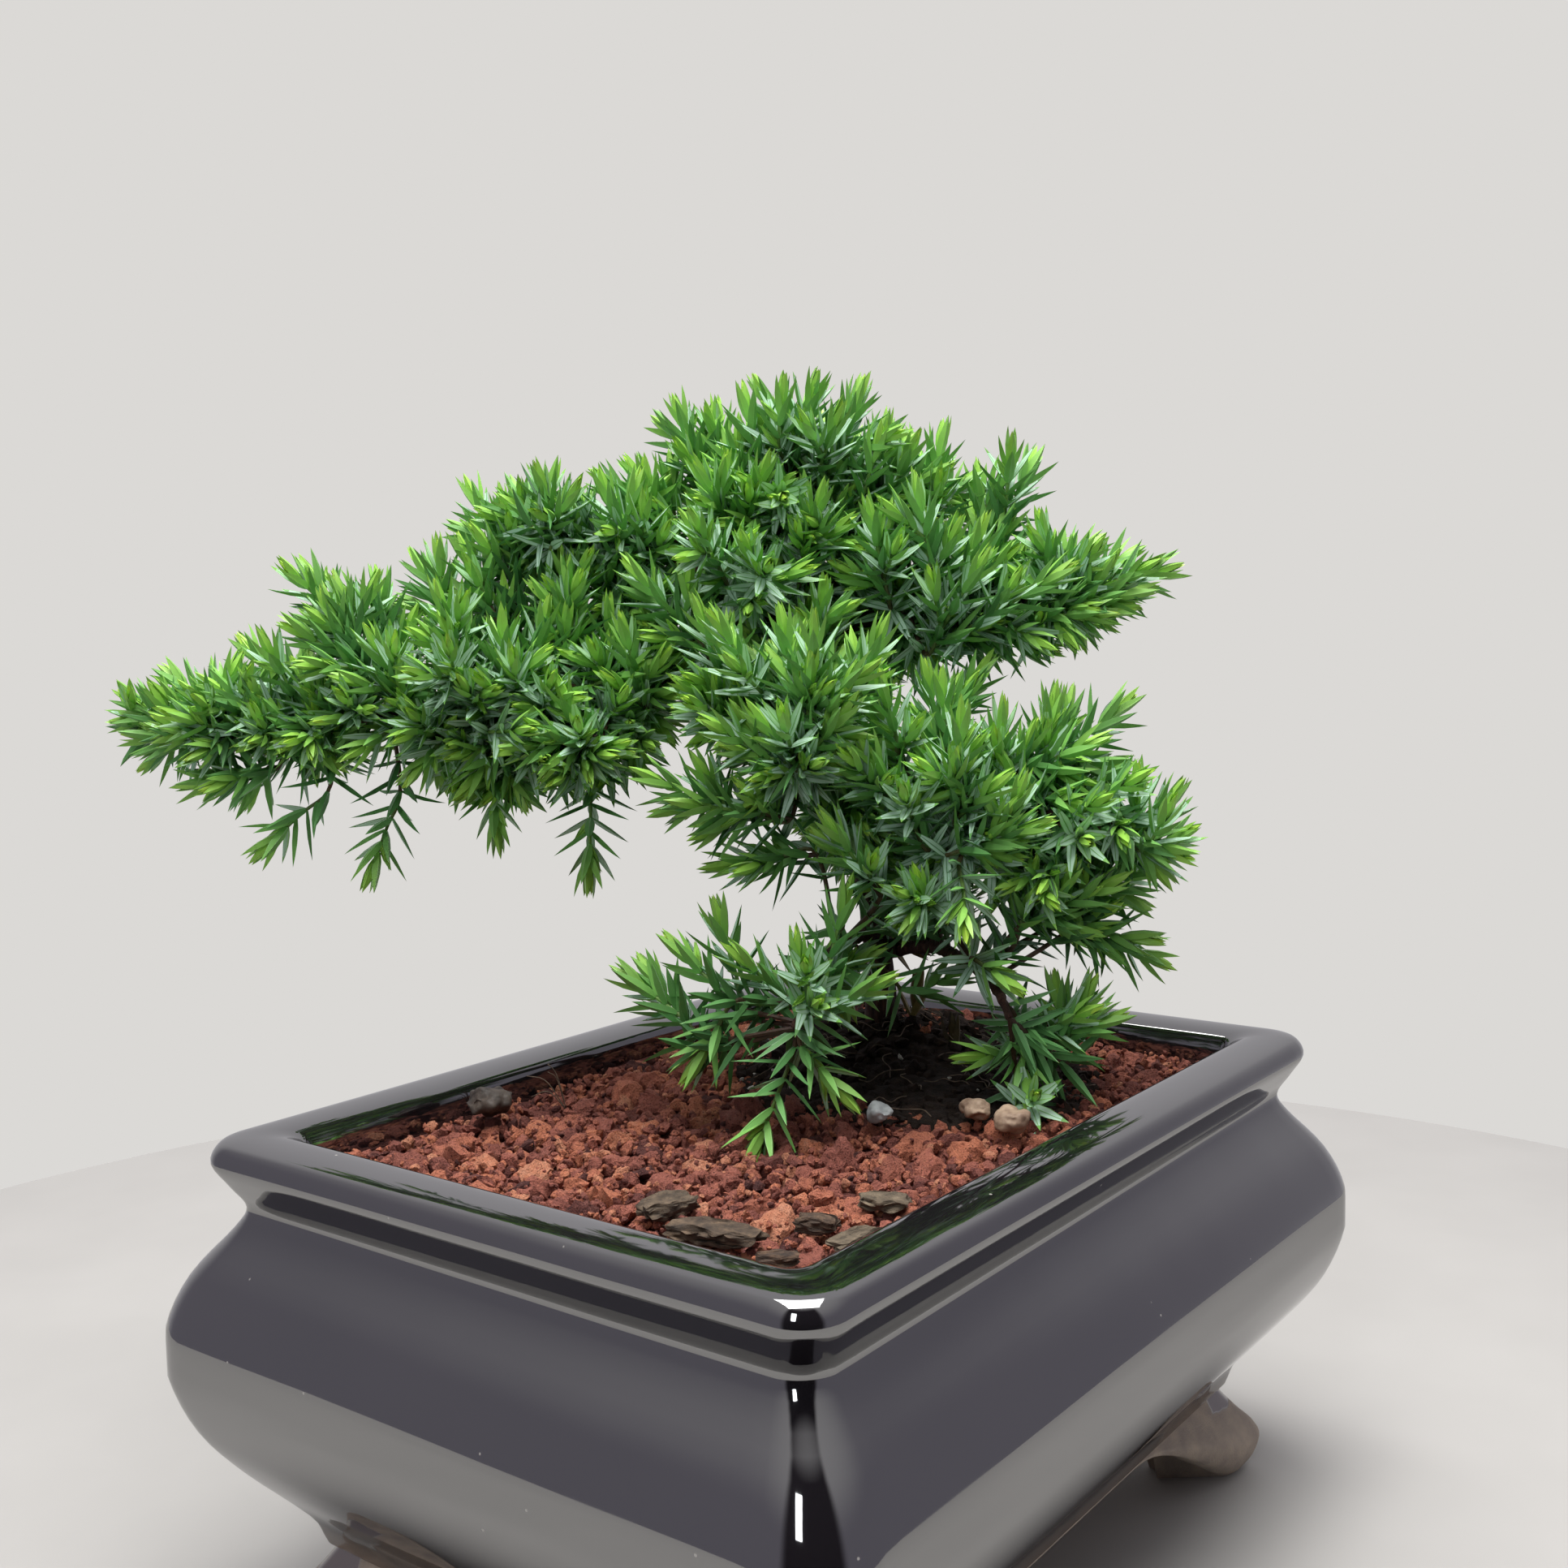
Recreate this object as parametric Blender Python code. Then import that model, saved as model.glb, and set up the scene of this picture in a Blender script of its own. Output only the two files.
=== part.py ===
"""A small juniper bonsai in a glazed rectangular pot on four corner feet.

The tree stands in its old nursery root ball, which sits in red lava grit. The
object rests on its feet at z = 0, and +X runs along the pot's long side. All
places on the pot and on the tree are measured from the middle of the pot.
"""

import math

import bmesh
import bpy
from mathutils import Vector, noise

MM = 0.001

# driving dimensions, in millimetres
RIM_LENGTH = 152
RIM_WIDTH = 114
RIM_CORNER = 6.8
BASE_Z = 16.4
FLOOR_Z = 22.6
GRIT_Z = 75
GAP = 0.3
DRAIN_ROOM = 3.2
DRAIN_RADIUS = 7.8
DRAIN_X = 34
ROOT_BALL_CENTRE = (27, -5)
ROOT_BALL_RADIUS = 31
ROOT_BALL_DEPTH = 36
TRUNK_FOOT = (34, 8)
MOUND_HEIGHT = 7.5
MOUND_SPREAD = 17
POT_MIDDLE = (0.0, -21.75)

# the pot's wall, as offsets outwards from the rim's outline and heights
OUTER_WALL = [
    (-11.2, 16.4), (-9.2, 21.0), (-1.7, 29.4), (3.4, 36.5), (6.4, 45.0), (6.3, 52.0),
    (3.3, 59.0), (-2.2, 65.6), (-3.9, 69.0), (-1.9, 72.6), (0.0, 76.0), (-1.0, 78.6),
]
RIM_TOP = [(-3.2, 79.4), (-7.0, 79.5), (-9.6, 78.9), (-10.6, 77.2)]
INNER_WALL = [
    (-10.9, 72.0), (-9.4, 65.5), (-4.0, 58.0), (-0.4, 50.0), (-1.6, 40.0), (-7.6, 30.6), (-16.0, 22.6),
]
FOOT_FACE = [(-12.8, 16.4), (-12.0, 14.8), (-9.6, 11.2), (-7.4, 8.4), (-6.5, 6.0), (-7.9, 2.0), (-10.5, 0.0)]
FOOT_BACK = [(-20.0, 0.0), (-21.5, 16.4)]
STRIP_OFFSET = -12.4
FOOT_REACH = 65.5
FOOT_FLAT = 5
ARCH_RUN = 31
ARCH_RISE = 15

for old in list(bpy.data.objects):
    bpy.data.objects.remove(old)

pot_middle = bpy.data.objects.new("pot_middle", None)
pot_middle.location = (POT_MIDDLE[0] * MM, POT_MIDDLE[1] * MM, 0)
bpy.context.collection.objects.link(pot_middle)


def material(name, colour, roughness, metallic=0.0):
    made = bpy.data.materials.new(name)
    made.use_nodes = True
    shader = made.node_tree.nodes["Principled BSDF"]
    shader.inputs["Base Color"].default_value = (*colour, 1)
    shader.inputs["Roughness"].default_value = roughness
    shader.inputs["Metallic"].default_value = metallic
    made.diffuse_color = (*colour, 1)
    return made


black_glaze = material("black_glaze", (0.012, 0.011, 0.013), 0.08)
red_lava = material("red_lava", (0.22, 0.055, 0.035), 0.95)
dark_soil = material("dark_soil", (0.022, 0.015, 0.012), 0.95)
juniper_bark = material("juniper_bark", (0.05, 0.028, 0.018), 0.85)
juniper_green = material("juniper_green", (0.07, 0.2, 0.035), 0.6)
fallen_bark = material("fallen_bark", (0.035, 0.028, 0.022), 0.85)
pale_stone = material("pale_stone", (0.35, 0.28, 0.2), 0.7)
grey_stone = material("grey_stone", (0.3, 0.32, 0.33), 0.6)
black_mesh = material("black_mesh", (0.015, 0.015, 0.015), 0.6)
clip_wire = material("clip_wire", (0.7, 0.7, 0.7), 0.4, 1.0)


def make_object(name, mesh, finish):
    """Turns a bmesh in millimetres into an object that hangs from the pot's middle."""
    bmesh.ops.scale(mesh, vec=(MM, MM, MM), verts=mesh.verts)
    bmesh.ops.recalc_face_normals(mesh, faces=mesh.faces)
    data = bpy.data.meshes.new(name)
    mesh.to_mesh(data)
    mesh.free()
    data.materials.append(finish)
    made = bpy.data.objects.new(name, data)
    made.parent = pot_middle
    bpy.context.collection.objects.link(made)
    return made


def loft(mesh, rings):
    """Joins rings of equally many points by quads, with a flat face over each end."""
    rows = [[mesh.verts.new(point) for point in ring] for ring in rings]
    for lower, upper in zip(rows, rows[1:]):
        for i in range(len(lower)):
            j = (i + 1) % len(lower)
            mesh.faces.new((lower[i], lower[j], upper[j], upper[i]))
    mesh.faces.new(rows[0][::-1])
    mesh.faces.new(rows[-1])
    return rows


def boolean(target, cutter, operation):
    step = target.modifiers.new(operation.lower(), "BOOLEAN")
    step.operation = operation
    step.object = cutter
    cutter.hide_render = True
    cutter.display_type = "WIRE"


def smooth_path(points, count):
    """Evenly numbered points on a Catmull-Rom curve through tuples of any length."""
    ends = [
        tuple(2 * a - b for a, b in zip(points[0], points[1])),
        tuple(2 * a - b for a, b in zip(points[-1], points[-2])),
    ]
    knots = [ends[0], *points, ends[1]]
    path = []
    for k in range(count):
        where = k / (count - 1) * (len(points) - 1)
        i = min(int(where), len(points) - 2)
        t = where - i
        path.append(tuple(
            0.5 * (2 * b + (c - a) * t + (2 * a - 5 * b + 4 * c - d) * t * t + (3 * b - a - 3 * c + d) * t**3)
            for a, b, c, d in zip(*knots[i:i + 4])
        ))
    return path


# ---- the pot, one casting with its feet

LONG_STATIONS = (0.93, 0.84, 0.72, 0.58, 0.3, 0, -0.3, -0.58, -0.72, -0.84, -0.93)
SHORT_STATIONS = (0.9, 0.78, 0.6, 0.35, 0, -0.35, -0.6, -0.78, -0.9)
CORNER_STEPS = 3


def arch_height(x, y):
    """Height of the pot's lower edge: it stands on the corners and arches between them."""
    along = min(abs(x), abs(y) + (RIM_LENGTH - RIM_WIDTH) / 2)
    reach = max(FOOT_REACH - along - FOOT_FLAT, 0) / ARCH_RUN
    return ARCH_RISE * math.sin(min(reach, 1) * math.pi / 2) ** 1.15


def outline(offset):
    """Points round the pot at an offset from the rim's outline, with rounded corners."""
    half_x = RIM_LENGTH / 2 + offset
    half_y = RIM_WIDTH / 2 + offset
    radius = max(RIM_CORNER + offset / 2, 3)
    straight_x = half_x - radius
    straight_y = half_y - radius
    points = []
    for turn in range(4):
        sx, sy = ((1, 1), (-1, 1), (-1, -1), (1, -1))[turn]
        for step in range(CORNER_STEPS + 1):
            angle = math.radians(90 * turn + 90 * step / CORNER_STEPS)
            x = sx * straight_x + radius * math.cos(angle)
            y = sy * straight_y + radius * math.sin(angle)
            points.append((x, y, True))
        if turn % 2 == 0:
            points += [(sx * straight_x * part, sy * half_y, False) for part in LONG_STATIONS]
        else:
            points += [(sx * half_x, sy * straight_y * part, False) for part in SHORT_STATIONS]
    return points


def foot_ring(offset, height):
    """A ring of the feet: full height at the corners, a thin strip between them."""
    ring = []
    shape = outline(offset)
    strip = outline(STRIP_OFFSET if offset > STRIP_OFFSET - 4 else offset)
    for (x, y, corner), (x_strip, y_strip, _) in zip(shape, strip):
        low = 0 if corner else arch_height(x, y)
        share = (BASE_Z - low) / BASE_Z
        ring.append((
            x_strip + (x - x_strip) * share,
            y_strip + (y - y_strip) * share,
            low + height * share,
        ))
    return ring


def level_ring(offset, height):
    return [(x, y, height) for x, y, _ in outline(offset)]


def make_pot():
    mesh = bmesh.new()
    feet = [foot_ring(*row) for row in FOOT_BACK[::-1] + FOOT_FACE[::-1]]
    walls = [level_ring(*row) for row in OUTER_WALL + RIM_TOP + INNER_WALL]
    loft(mesh, feet + walls)
    pot = make_object("pot", mesh, black_glaze)
    for side in (-1, 1):
        drain = bmesh.new()
        bmesh.ops.create_cone(
            drain, cap_ends=True, segments=20, radius1=DRAIN_RADIUS, radius2=DRAIN_RADIUS, depth=20,
        )
        bmesh.ops.translate(drain, vec=(side * DRAIN_X, 0, (BASE_Z + FLOOR_Z) / 2), verts=drain.verts)
        boolean(pot, make_object(f"drain_cutter_{side}", drain, black_glaze), "DIFFERENCE")


# ---- what lies under and in the grit

MESH_CELLS = 7
MESH_SIDE = 22
MESH_THICKNESS = 0.9
CLIP_RADIUS = 0.5


def make_drain_mesh(name, middle_x):
    """A square of plastic mesh: every other cell of a grid is open in both directions."""
    mesh = bmesh.new()
    bmesh.ops.create_grid(mesh, x_segments=MESH_CELLS, y_segments=MESH_CELLS, size=MESH_SIDE / 2)
    cell = MESH_SIDE / MESH_CELLS
    holes = []
    for face in mesh.faces:
        place = face.calc_center_median()
        column = int((place.x + MESH_SIDE / 2) / cell)
        row = int((place.y + MESH_SIDE / 2) / cell)
        if column % 2 and row % 2:
            holes.append(face)
    bmesh.ops.delete(mesh, geom=holes, context="FACES")
    shape = bmesh.ops.extrude_face_region(mesh, geom=list(mesh.faces))
    raised = [item for item in shape["geom"] if isinstance(item, bmesh.types.BMVert)]
    bmesh.ops.translate(mesh, vec=(0, 0, MESH_THICKNESS), verts=raised)
    bmesh.ops.translate(mesh, vec=(middle_x, 0, FLOOR_Z + GAP), verts=mesh.verts)
    make_object(name, mesh, black_mesh)


def tube(mesh, path, radii, sides, lumps=None):
    """A round-ended tube along a path, turned as little as possible from ring to ring."""
    path = [Vector(point) for point in path]
    across = None
    rings = []
    for k, here in enumerate(path):
        ahead = (path[min(k + 1, len(path) - 1)] - path[max(k - 1, 0)]).normalized()
        if across is None:
            across = ahead.orthogonal().normalized()
        across = (across - ahead * across.dot(ahead)).normalized()
        other = ahead.cross(across)
        ring = []
        for i in range(sides):
            angle = 2 * math.pi * i / sides
            radius = radii[k] * (lumps(k, angle) if lumps else 1)
            ring.append(here + (across * math.cos(angle) + other * math.sin(angle)) * radius)
        rings.append(ring)
    loft(mesh, rings)


def make_mesh_clip(name, middle_x):
    """A bent wire: over the mesh, down through two of its cells and out under the pot."""
    leg = 2 * MESH_SIDE / MESH_CELLS
    top = FLOOR_Z + GAP + MESH_THICKNESS + GAP + CLIP_RADIUS
    under = BASE_Z - GAP - CLIP_RADIUS
    corners = [(-leg - 7, under), (-leg, under), (-leg, top), (leg, top), (leg, under), (leg + 7, under)]
    path = []
    for k, (x, z) in enumerate(corners):
        here = Vector((middle_x + x, 0, z))
        if k in (0, len(corners) - 1):
            path.append(here)
            continue
        for other in (corners[k - 1], corners[k + 1]):
            towards = (Vector((middle_x + other[0], 0, other[1])) - here).normalized()
            path.append(here + towards * 1.2)
    mesh = bmesh.new()
    tube(mesh, path, [CLIP_RADIUS] * len(path), 6)
    make_object(name, mesh, clip_wire)


# ---- soil: the nursery root ball and the lava grit round it

GROUND_RINGS = 6
GROUND_SHARES = (1, 0.8, 0.55, 0.3, 0.12)


def ground_height(x, y):
    """The level of the grit and the soil: a low mound at the trunk, with small bumps."""
    distance = math.hypot(x - TRUNK_FOOT[0], y - TRUNK_FOOT[1])
    mound = MOUND_HEIGHT * math.exp(-((distance / MOUND_SPREAD) ** 2) / 2)
    return GRIT_Z + mound + 0.6 * noise.noise(Vector((x, y, 0)) / 6)


def on_ground(points):
    return [(x, y, ground_height(x, y)) for x, y in points]


def between(start, end, share):
    return [tuple(a + (b - a) * share for a, b in zip(p, q)) for p, q in zip(start, end)]


def inside_wall(offset):
    """The pot's inner outline at an offset from the rim's, less a clearance."""
    return [(x, y) for x, y, _ in outline(offset - GAP)]


def root_ball_outline(growth):
    """An uneven round, with one point facing each point of the pot's inner outline."""
    points = []
    for x, y in inside_wall(INNER_WALL[0][0]):
        angle = math.atan2(y - ROOT_BALL_CENTRE[1], x - ROOT_BALL_CENTRE[0])
        radius = ROOT_BALL_RADIUS + growth + 1.6 * math.sin(3 * angle + 1) + 0.9 * math.sin(5 * angle)
        points.append((
            ROOT_BALL_CENTRE[0] + radius * math.cos(angle),
            ROOT_BALL_CENTRE[1] + radius * math.sin(angle),
        ))
    return points


def root_ball_side(extra=0.0):
    """The root ball's rings from its bottom to just under the ground."""
    sides = ((ROOT_BALL_DEPTH + extra, 5), (ROOT_BALL_DEPTH * 0.8, 1), (ROOT_BALL_DEPTH * 0.4, 0))
    return [
        [(x, y, GRIT_Z - depth) for x, y in root_ball_outline(extra - shrink)] for depth, shrink in sides
    ]


def make_root_ball():
    rings = root_ball_side()
    edge = root_ball_outline(0)
    foot = [TRUNK_FOOT] * len(edge)
    for share in GROUND_SHARES:
        rings.append(on_ground(between(foot, edge, share)))
    mesh = bmesh.new()
    loft(mesh, rings)
    return make_object("root_ball", mesh, dark_soil)


def make_lava_grit():
    """The grit fills the pot round and under the root ball, with a pit for it."""
    rings = root_ball_side(GAP)
    edge = root_ball_outline(GAP)
    wall = inside_wall(INNER_WALL[0][0])
    for k in range(GROUND_RINGS + 1):
        rings.append(on_ground(between(edge, wall, k / GROUND_RINGS)))
    for offset, height in INNER_WALL[:-1]:
        rings.append([(x, y, height) for x, y in inside_wall(offset)])
    rings.append([(x, y, FLOOR_Z + DRAIN_ROOM) for x, y in inside_wall(INNER_WALL[-1][0])])
    mesh = bmesh.new()
    loft(mesh, rings)
    make_object("lava_grit", mesh, red_lava)


# place, length, width, thickness, turn in degrees
BARK_CHIPS = [
    (-56, -26, 14, 5.5, 2.4, -77), (-51.5, -15, 9, 5.5, 2.6, -15), (-45.5, -35.4, 6, 4, 2.2, -75),
    (-47.5, -42.3, 8.5, 4, 2.0, -8), (-33.5, -37.3, 7.2, 5, 1.8, -67), (-58.5, -38.5, 5.5, 3.5, 2.0, -47),
]
# name, place, size across, finish
STONES = [
    ("grey_pebble", -4, -17, 5.2, grey_stone),
    ("tan_pebble_1", 5, -29, 5.6, pale_stone),
    ("tan_pebble_2", 3.5, -36, 6.4, pale_stone),
    ("dark_stone", -35, 37, 8.5, fallen_bark),
]


def rest_height(x, y, reach):
    """The lowest level at which a piece of this reach clears the ground under it."""
    spots = [(x + reach * a, y + reach * b) for a in (-1, -0.5, 0, 0.5, 1) for b in (-1, -0.5, 0, 0.5, 1)]
    return max(ground_height(*spot) for spot in spots) + GAP


def make_flake(name, x, y, length, width, thickness, turn, finish, sides=9):
    """A flat chip with an uneven outline and softened edges."""
    base = rest_height(x, y, length / 2)
    rings = []
    for level, inset in ((0, 0.75), (0.3, 1), (0.75, 0.97), (1, 0.72)):
        ring = []
        for i in range(sides):
            angle = 2 * math.pi * i / sides
            uneven = 1 + 0.14 * math.sin(2.3 * i + length) + 0.08 * math.sin(5.1 * i + width)
            ring.append((
                length / 2 * inset * uneven * math.cos(angle),
                width / 2 * inset * uneven * math.sin(angle),
                level * thickness,
            ))
        rings.append(ring)
    mesh = bmesh.new()
    loft(mesh, rings)
    made = make_object(name, mesh, finish)
    made.location = (x * MM, y * MM, base * MM)
    made.rotation_euler.z = math.radians(turn)


def make_pebble(name, x, y, across, finish):
    mesh = bmesh.new()
    bmesh.ops.create_icosphere(mesh, subdivisions=2, radius=across / 2)
    for vert in mesh.verts:
        vert.co *= 1 + 0.16 * noise.noise(vert.co / 3 + Vector((x, y, 0)))
        vert.co.z *= 0.68
    lowest = min(vert.co.z for vert in mesh.verts)
    made = make_object(name, mesh, finish)
    made.location = (x * MM, y * MM, (rest_height(x, y, across / 2) - lowest) * MM)


# ---- the tree: points in millimetres with the wood's radius

TRUNK = [(34, 8, 62, 4.6), (34, 8, 78, 3.6), (33, 7.5, 86, 2.9), (31, 7, 100, 2.6), (28.5, 8.5, 115, 2.5),
         (26, 10, 130, 2.3), (23.5, 12, 145, 2.1), (22, 14, 158, 1.8), (21.5, 16, 176, 1.2)]
LIMBS = {
    "wing": [(25, 10.5, 137, 1.6), (12, 19, 142, 1.7), (-2, 32, 144, 1.6), (-15, 47, 143, 1.4),
             (-28, 62, 140, 1.2), (-40, 78, 138.5, 1.0), (-50, 94, 138.5, 0.7)],
    "shoulder": [(23.5, 12, 145, 1.2), (13, 21, 158, 1.3), (4, 32, 166, 1.1), (-3, 42, 170, 0.8)],
    "right_arm": [(22.5, 13, 151, 1.2), (29, 2, 155, 1.4), (38, -12, 157, 1.2), (47, -25, 159, 1.0),
                  (53, -34, 160, 0.7)],
    "skirt": [(29, 8.2, 112, 1.3), (26, -8, 118, 1.4), (24, -24, 121, 1.2), (29, -38, 122, 0.8)],
    "front": [(27.5, 9, 121, 1.2), (14, 5, 129, 1.3), (0, 0, 134, 1.1), (-9, -4, 137, 0.8)],
    "low_left": [(31.5, 7, 97, 1.1), (20, 2, 100, 1.2), (4, -4, 101, 1.1), (-9, -8, 98, 0.9),
                 (-15, -9, 92, 0.7)],
    "low_right": [(31.8, 7, 94, 1.0), (25, -9, 98, 1.1), (17, -24, 96, 1.0), (12, -31, 91, 0.7)],
    "back": [(25, 11, 136, 1.2), (36, 22, 142, 1.3), (47, 33, 147, 1.1), (54, 41, 150, 0.8)],
    "back_skirt": [(29.5, 8, 109, 1.1), (41, 18, 114, 1.2), (51, 26, 117, 0.9)],
}
WOOD_SIDES = 8


def make_limb(name, points, extra):
    """One limb as a tube, thickened by a clearance where it is used to cut."""
    count = 2 * len(points)
    path = smooth_path(points, count)
    mesh = bmesh.new()
    tube(mesh, [point[:3] for point in path], [point[3] + extra for point in path], WOOD_SIDES)
    return make_object(name, mesh, juniper_bark)


def make_wood(name, extra=0.0):
    """The trunk with its limbs, joined into one piece of wood."""
    wood = make_limb(name, TRUNK, extra)
    for limb, points in LIMBS.items():
        boolean(wood, make_limb(f"{limb}_limb_of_{name}", points, extra), "UNION")
    return wood


# the needle shoots of each branch, as one plain lumpy mass: points and radius
FOLIAGE = {
    "wing_tip": [(-37, 75, 139.5, 11), (-45, 88, 139, 12), (-54, 103, 141.5, 4.5)],
    "wing_middle": [(-6, 38, 142.5, 17), (-15, 48, 141.5, 20), (-22, 57, 140, 14)],
    "shoulder": [(0, 36, 170, 11), (-6, 45, 172, 11), (-10, 52, 172, 8)],
    "crown": [(21, 24, 174, 15), (23, 15, 176, 21), (27, 4, 175, 14)],
    "right_arm": [(37, -11, 158, 12), (45, -24, 159, 12.5), (57, -39, 161.5, 4)],
    "front": [(9, 4, 136, 14), (0, -1, 138, 17), (-10, -6, 138, 11)],
    "skirt": [(27, -16, 120, 14), (28, -30, 121, 19), (31, -43, 120, 11)],
    "low_left": [(3, -4, 101, 9), (-9, -7, 98, 13), (-21, -8, 90, 9)],
    "low_right": [(23, -13, 95, 6), (17, -25, 92.5, 10), (9, -35, 86, 8.5)],
    "back": [(40, 27, 148, 13), (48, 35, 150, 16), (58, 45, 151, 8)],
    "back_skirt": [(43, 19, 116, 10), (50, 25, 117, 13), (58, 31, 117, 8)],
}
FOLIAGE_SIDES = 12
FOLIAGE_RINGS = 11


def make_foliage(name, points):
    """A mass swollen along its points, with rounded ends and a lump for each shoot."""
    path = smooth_path(points, FOLIAGE_RINGS)
    first = Vector(path[0][:3])
    last = Vector(path[-1][:3])
    out_of_start = (first - Vector(path[1][:3])).normalized()
    out_of_end = (last - Vector(path[-2][:3])).normalized()
    caps = ((0.55, 0.62), (0.85, 0.28))
    before = [(first + out_of_start * path[0][3] * out, path[0][3] * wide) for out, wide in caps]
    after = [(last + out_of_end * path[-1][3] * out, path[-1][3] * wide) for out, wide in caps]
    body = [(Vector(point[:3]), point[3]) for point in path]
    rows = before[::-1] + body + after

    def lumps(k, angle):
        return 1 + 0.09 * math.sin(4 * angle + 2.4 * k) * math.sin(1.9 * k + len(name))

    mesh = bmesh.new()
    tube(mesh, [row[0] for row in rows], [row[1] for row in rows], FOLIAGE_SIDES, lumps)
    return make_object(f"foliage_{name}", mesh, juniper_green)


make_pot()
for label, side in (("left", -1), ("right", 1)):
    make_drain_mesh(f"drain_mesh_{label}", side * DRAIN_X)
    make_mesh_clip(f"mesh_clip_{label}", side * DRAIN_X)
make_lava_grit()
for number, chip in enumerate(BARK_CHIPS, 1):
    make_flake(f"bark_chip_{number}", *chip, fallen_bark)
for stone in STONES:
    make_pebble(*stone)
make_wood("trunk")
wood_clearance = make_wood("wood_clearance", 2 * GAP)
wood_clearance.hide_render = True
wood_clearance.display_type = "WIRE"
boolean(make_root_ball(), wood_clearance, "DIFFERENCE")
for branch, points in FOLIAGE.items():
    boolean(make_foliage(branch, points), wood_clearance, "DIFFERENCE")
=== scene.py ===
"""The looks of a small juniper bonsai in a black glazed pot on four corner feet.

The tree stands in its nursery root ball, in a bed of red lava grit. Places on the pot and on
the tree are in millimetres from the middle of the pot's underside, and X runs along the pot.
"""

import math
import random

import bmesh
import bpy
import numpy as np
from mathutils import Matrix, Vector, kdtree, noise


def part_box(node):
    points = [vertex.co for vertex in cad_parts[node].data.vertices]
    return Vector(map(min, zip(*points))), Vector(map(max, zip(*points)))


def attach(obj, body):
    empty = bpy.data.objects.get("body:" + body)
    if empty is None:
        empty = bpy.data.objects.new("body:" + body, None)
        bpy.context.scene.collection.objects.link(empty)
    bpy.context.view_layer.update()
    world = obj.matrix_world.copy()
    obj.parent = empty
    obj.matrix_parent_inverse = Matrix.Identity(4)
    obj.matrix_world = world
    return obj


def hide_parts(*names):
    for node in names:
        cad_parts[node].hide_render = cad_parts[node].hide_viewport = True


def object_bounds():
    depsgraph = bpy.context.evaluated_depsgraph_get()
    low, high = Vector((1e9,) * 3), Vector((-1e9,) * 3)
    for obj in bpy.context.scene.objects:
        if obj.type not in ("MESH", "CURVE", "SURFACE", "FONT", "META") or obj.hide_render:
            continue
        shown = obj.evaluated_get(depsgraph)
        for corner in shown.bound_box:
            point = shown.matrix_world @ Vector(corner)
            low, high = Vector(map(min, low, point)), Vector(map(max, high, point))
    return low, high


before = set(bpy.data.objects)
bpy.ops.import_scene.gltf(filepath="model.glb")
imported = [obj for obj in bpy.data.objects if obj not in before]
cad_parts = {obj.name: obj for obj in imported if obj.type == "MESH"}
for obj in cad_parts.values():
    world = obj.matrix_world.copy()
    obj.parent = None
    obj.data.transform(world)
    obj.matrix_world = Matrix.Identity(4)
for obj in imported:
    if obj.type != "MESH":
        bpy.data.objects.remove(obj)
cad_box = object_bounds()

# ---- the pot
# One slip-cast stoneware casting: a bellied box with a thick rolled rim, on four bracket feet.
# It is dipped in a glossy black glaze, which runs thin and brown along the lower lip and stops in
# a wavy line on the feet, where the tan clay shows.

MM = 0.001
RIM_LENGTH = 152
RIM_WIDTH = 114
RIM_CORNER = 6.8
BASE_Z = 16.4
FLOOR_Z = 22.6
DRAIN_RADIUS = 7.8
DRAIN_X = 34
# the pot's wall, as offsets outwards from the rim's outline and heights
OUTER_WALL = [
    (-11.2, 16.4), (-9.2, 21.0), (-1.7, 29.4), (3.4, 36.5), (6.4, 45.0), (6.3, 52.0),
    (3.3, 59.0), (-2.2, 65.6), (-3.9, 69.0), (-1.9, 72.6), (0.0, 76.0), (-1.0, 78.6),
]
RIM_TOP = [(-3.2, 79.4), (-7.0, 79.5), (-9.6, 78.9), (-10.6, 77.2)]
INNER_WALL = [
    (-10.9, 72.0), (-9.4, 65.5), (-4.0, 58.0), (-0.4, 50.0), (-1.6, 40.0), (-7.6, 30.6),
    (-16.0, 22.6),
]
FOOT_FACE = [
    (-12.8, 16.4), (-12.0, 14.8), (-9.6, 11.2), (-7.4, 8.4), (-6.5, 6.0), (-7.9, 2.0), (-10.5, 0.0),
]
FOOT_BACK = [(-20.0, 0.0), (-21.5, 16.4)]
STRIP_OFFSET = -12.4
FOOT_REACH = 65.5
FOOT_FLAT = 5
ARCH_RUN = 31
ARCH_RISE = 15
ROW_PARTS = 4
CORNER_PARTS = 10
LONG_PARTS = 44
SHORT_PARTS = 34
DRAIN_PARTS = 36
HAND_WAVER = 0.35
WELD = 1e-4
POT_CREASE = 50
# heights over which the glaze stops on the feet, and over which it thins out on the lower lip
GLAZE_STOP = (12.9, 12.3)
GLAZE_THINS = (20.5, 16.6)

pot_low, pot_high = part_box("pot")
MIDDLE = np.array([(pot_low.x + pot_high.x) / 2, (pot_low.y + pot_high.y) / 2, 0])


def smooth_path(points, count):
    """Evenly numbered points on a Catmull-Rom curve through tuples of any length."""
    ends = [
        tuple(2 * a - b for a, b in zip(points[0], points[1])),
        tuple(2 * a - b for a, b in zip(points[-1], points[-2])),
    ]
    knots = [ends[0], *points, ends[1]]
    path = []
    for k in range(count):
        where = k / (count - 1) * (len(points) - 1)
        i = min(int(where), len(points) - 2)
        t = where - i
        place = []
        for a, b, c, d in zip(*knots[i:i + 4]):
            straight = 2 * b + (c - a) * t
            bend = (2 * a - 5 * b + 4 * c - d) * t * t
            sway = (3 * b - a - 3 * c + d) * t**3
            place.append(0.5 * (straight + bend + sway))
        path.append(tuple(place))
    return path


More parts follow.
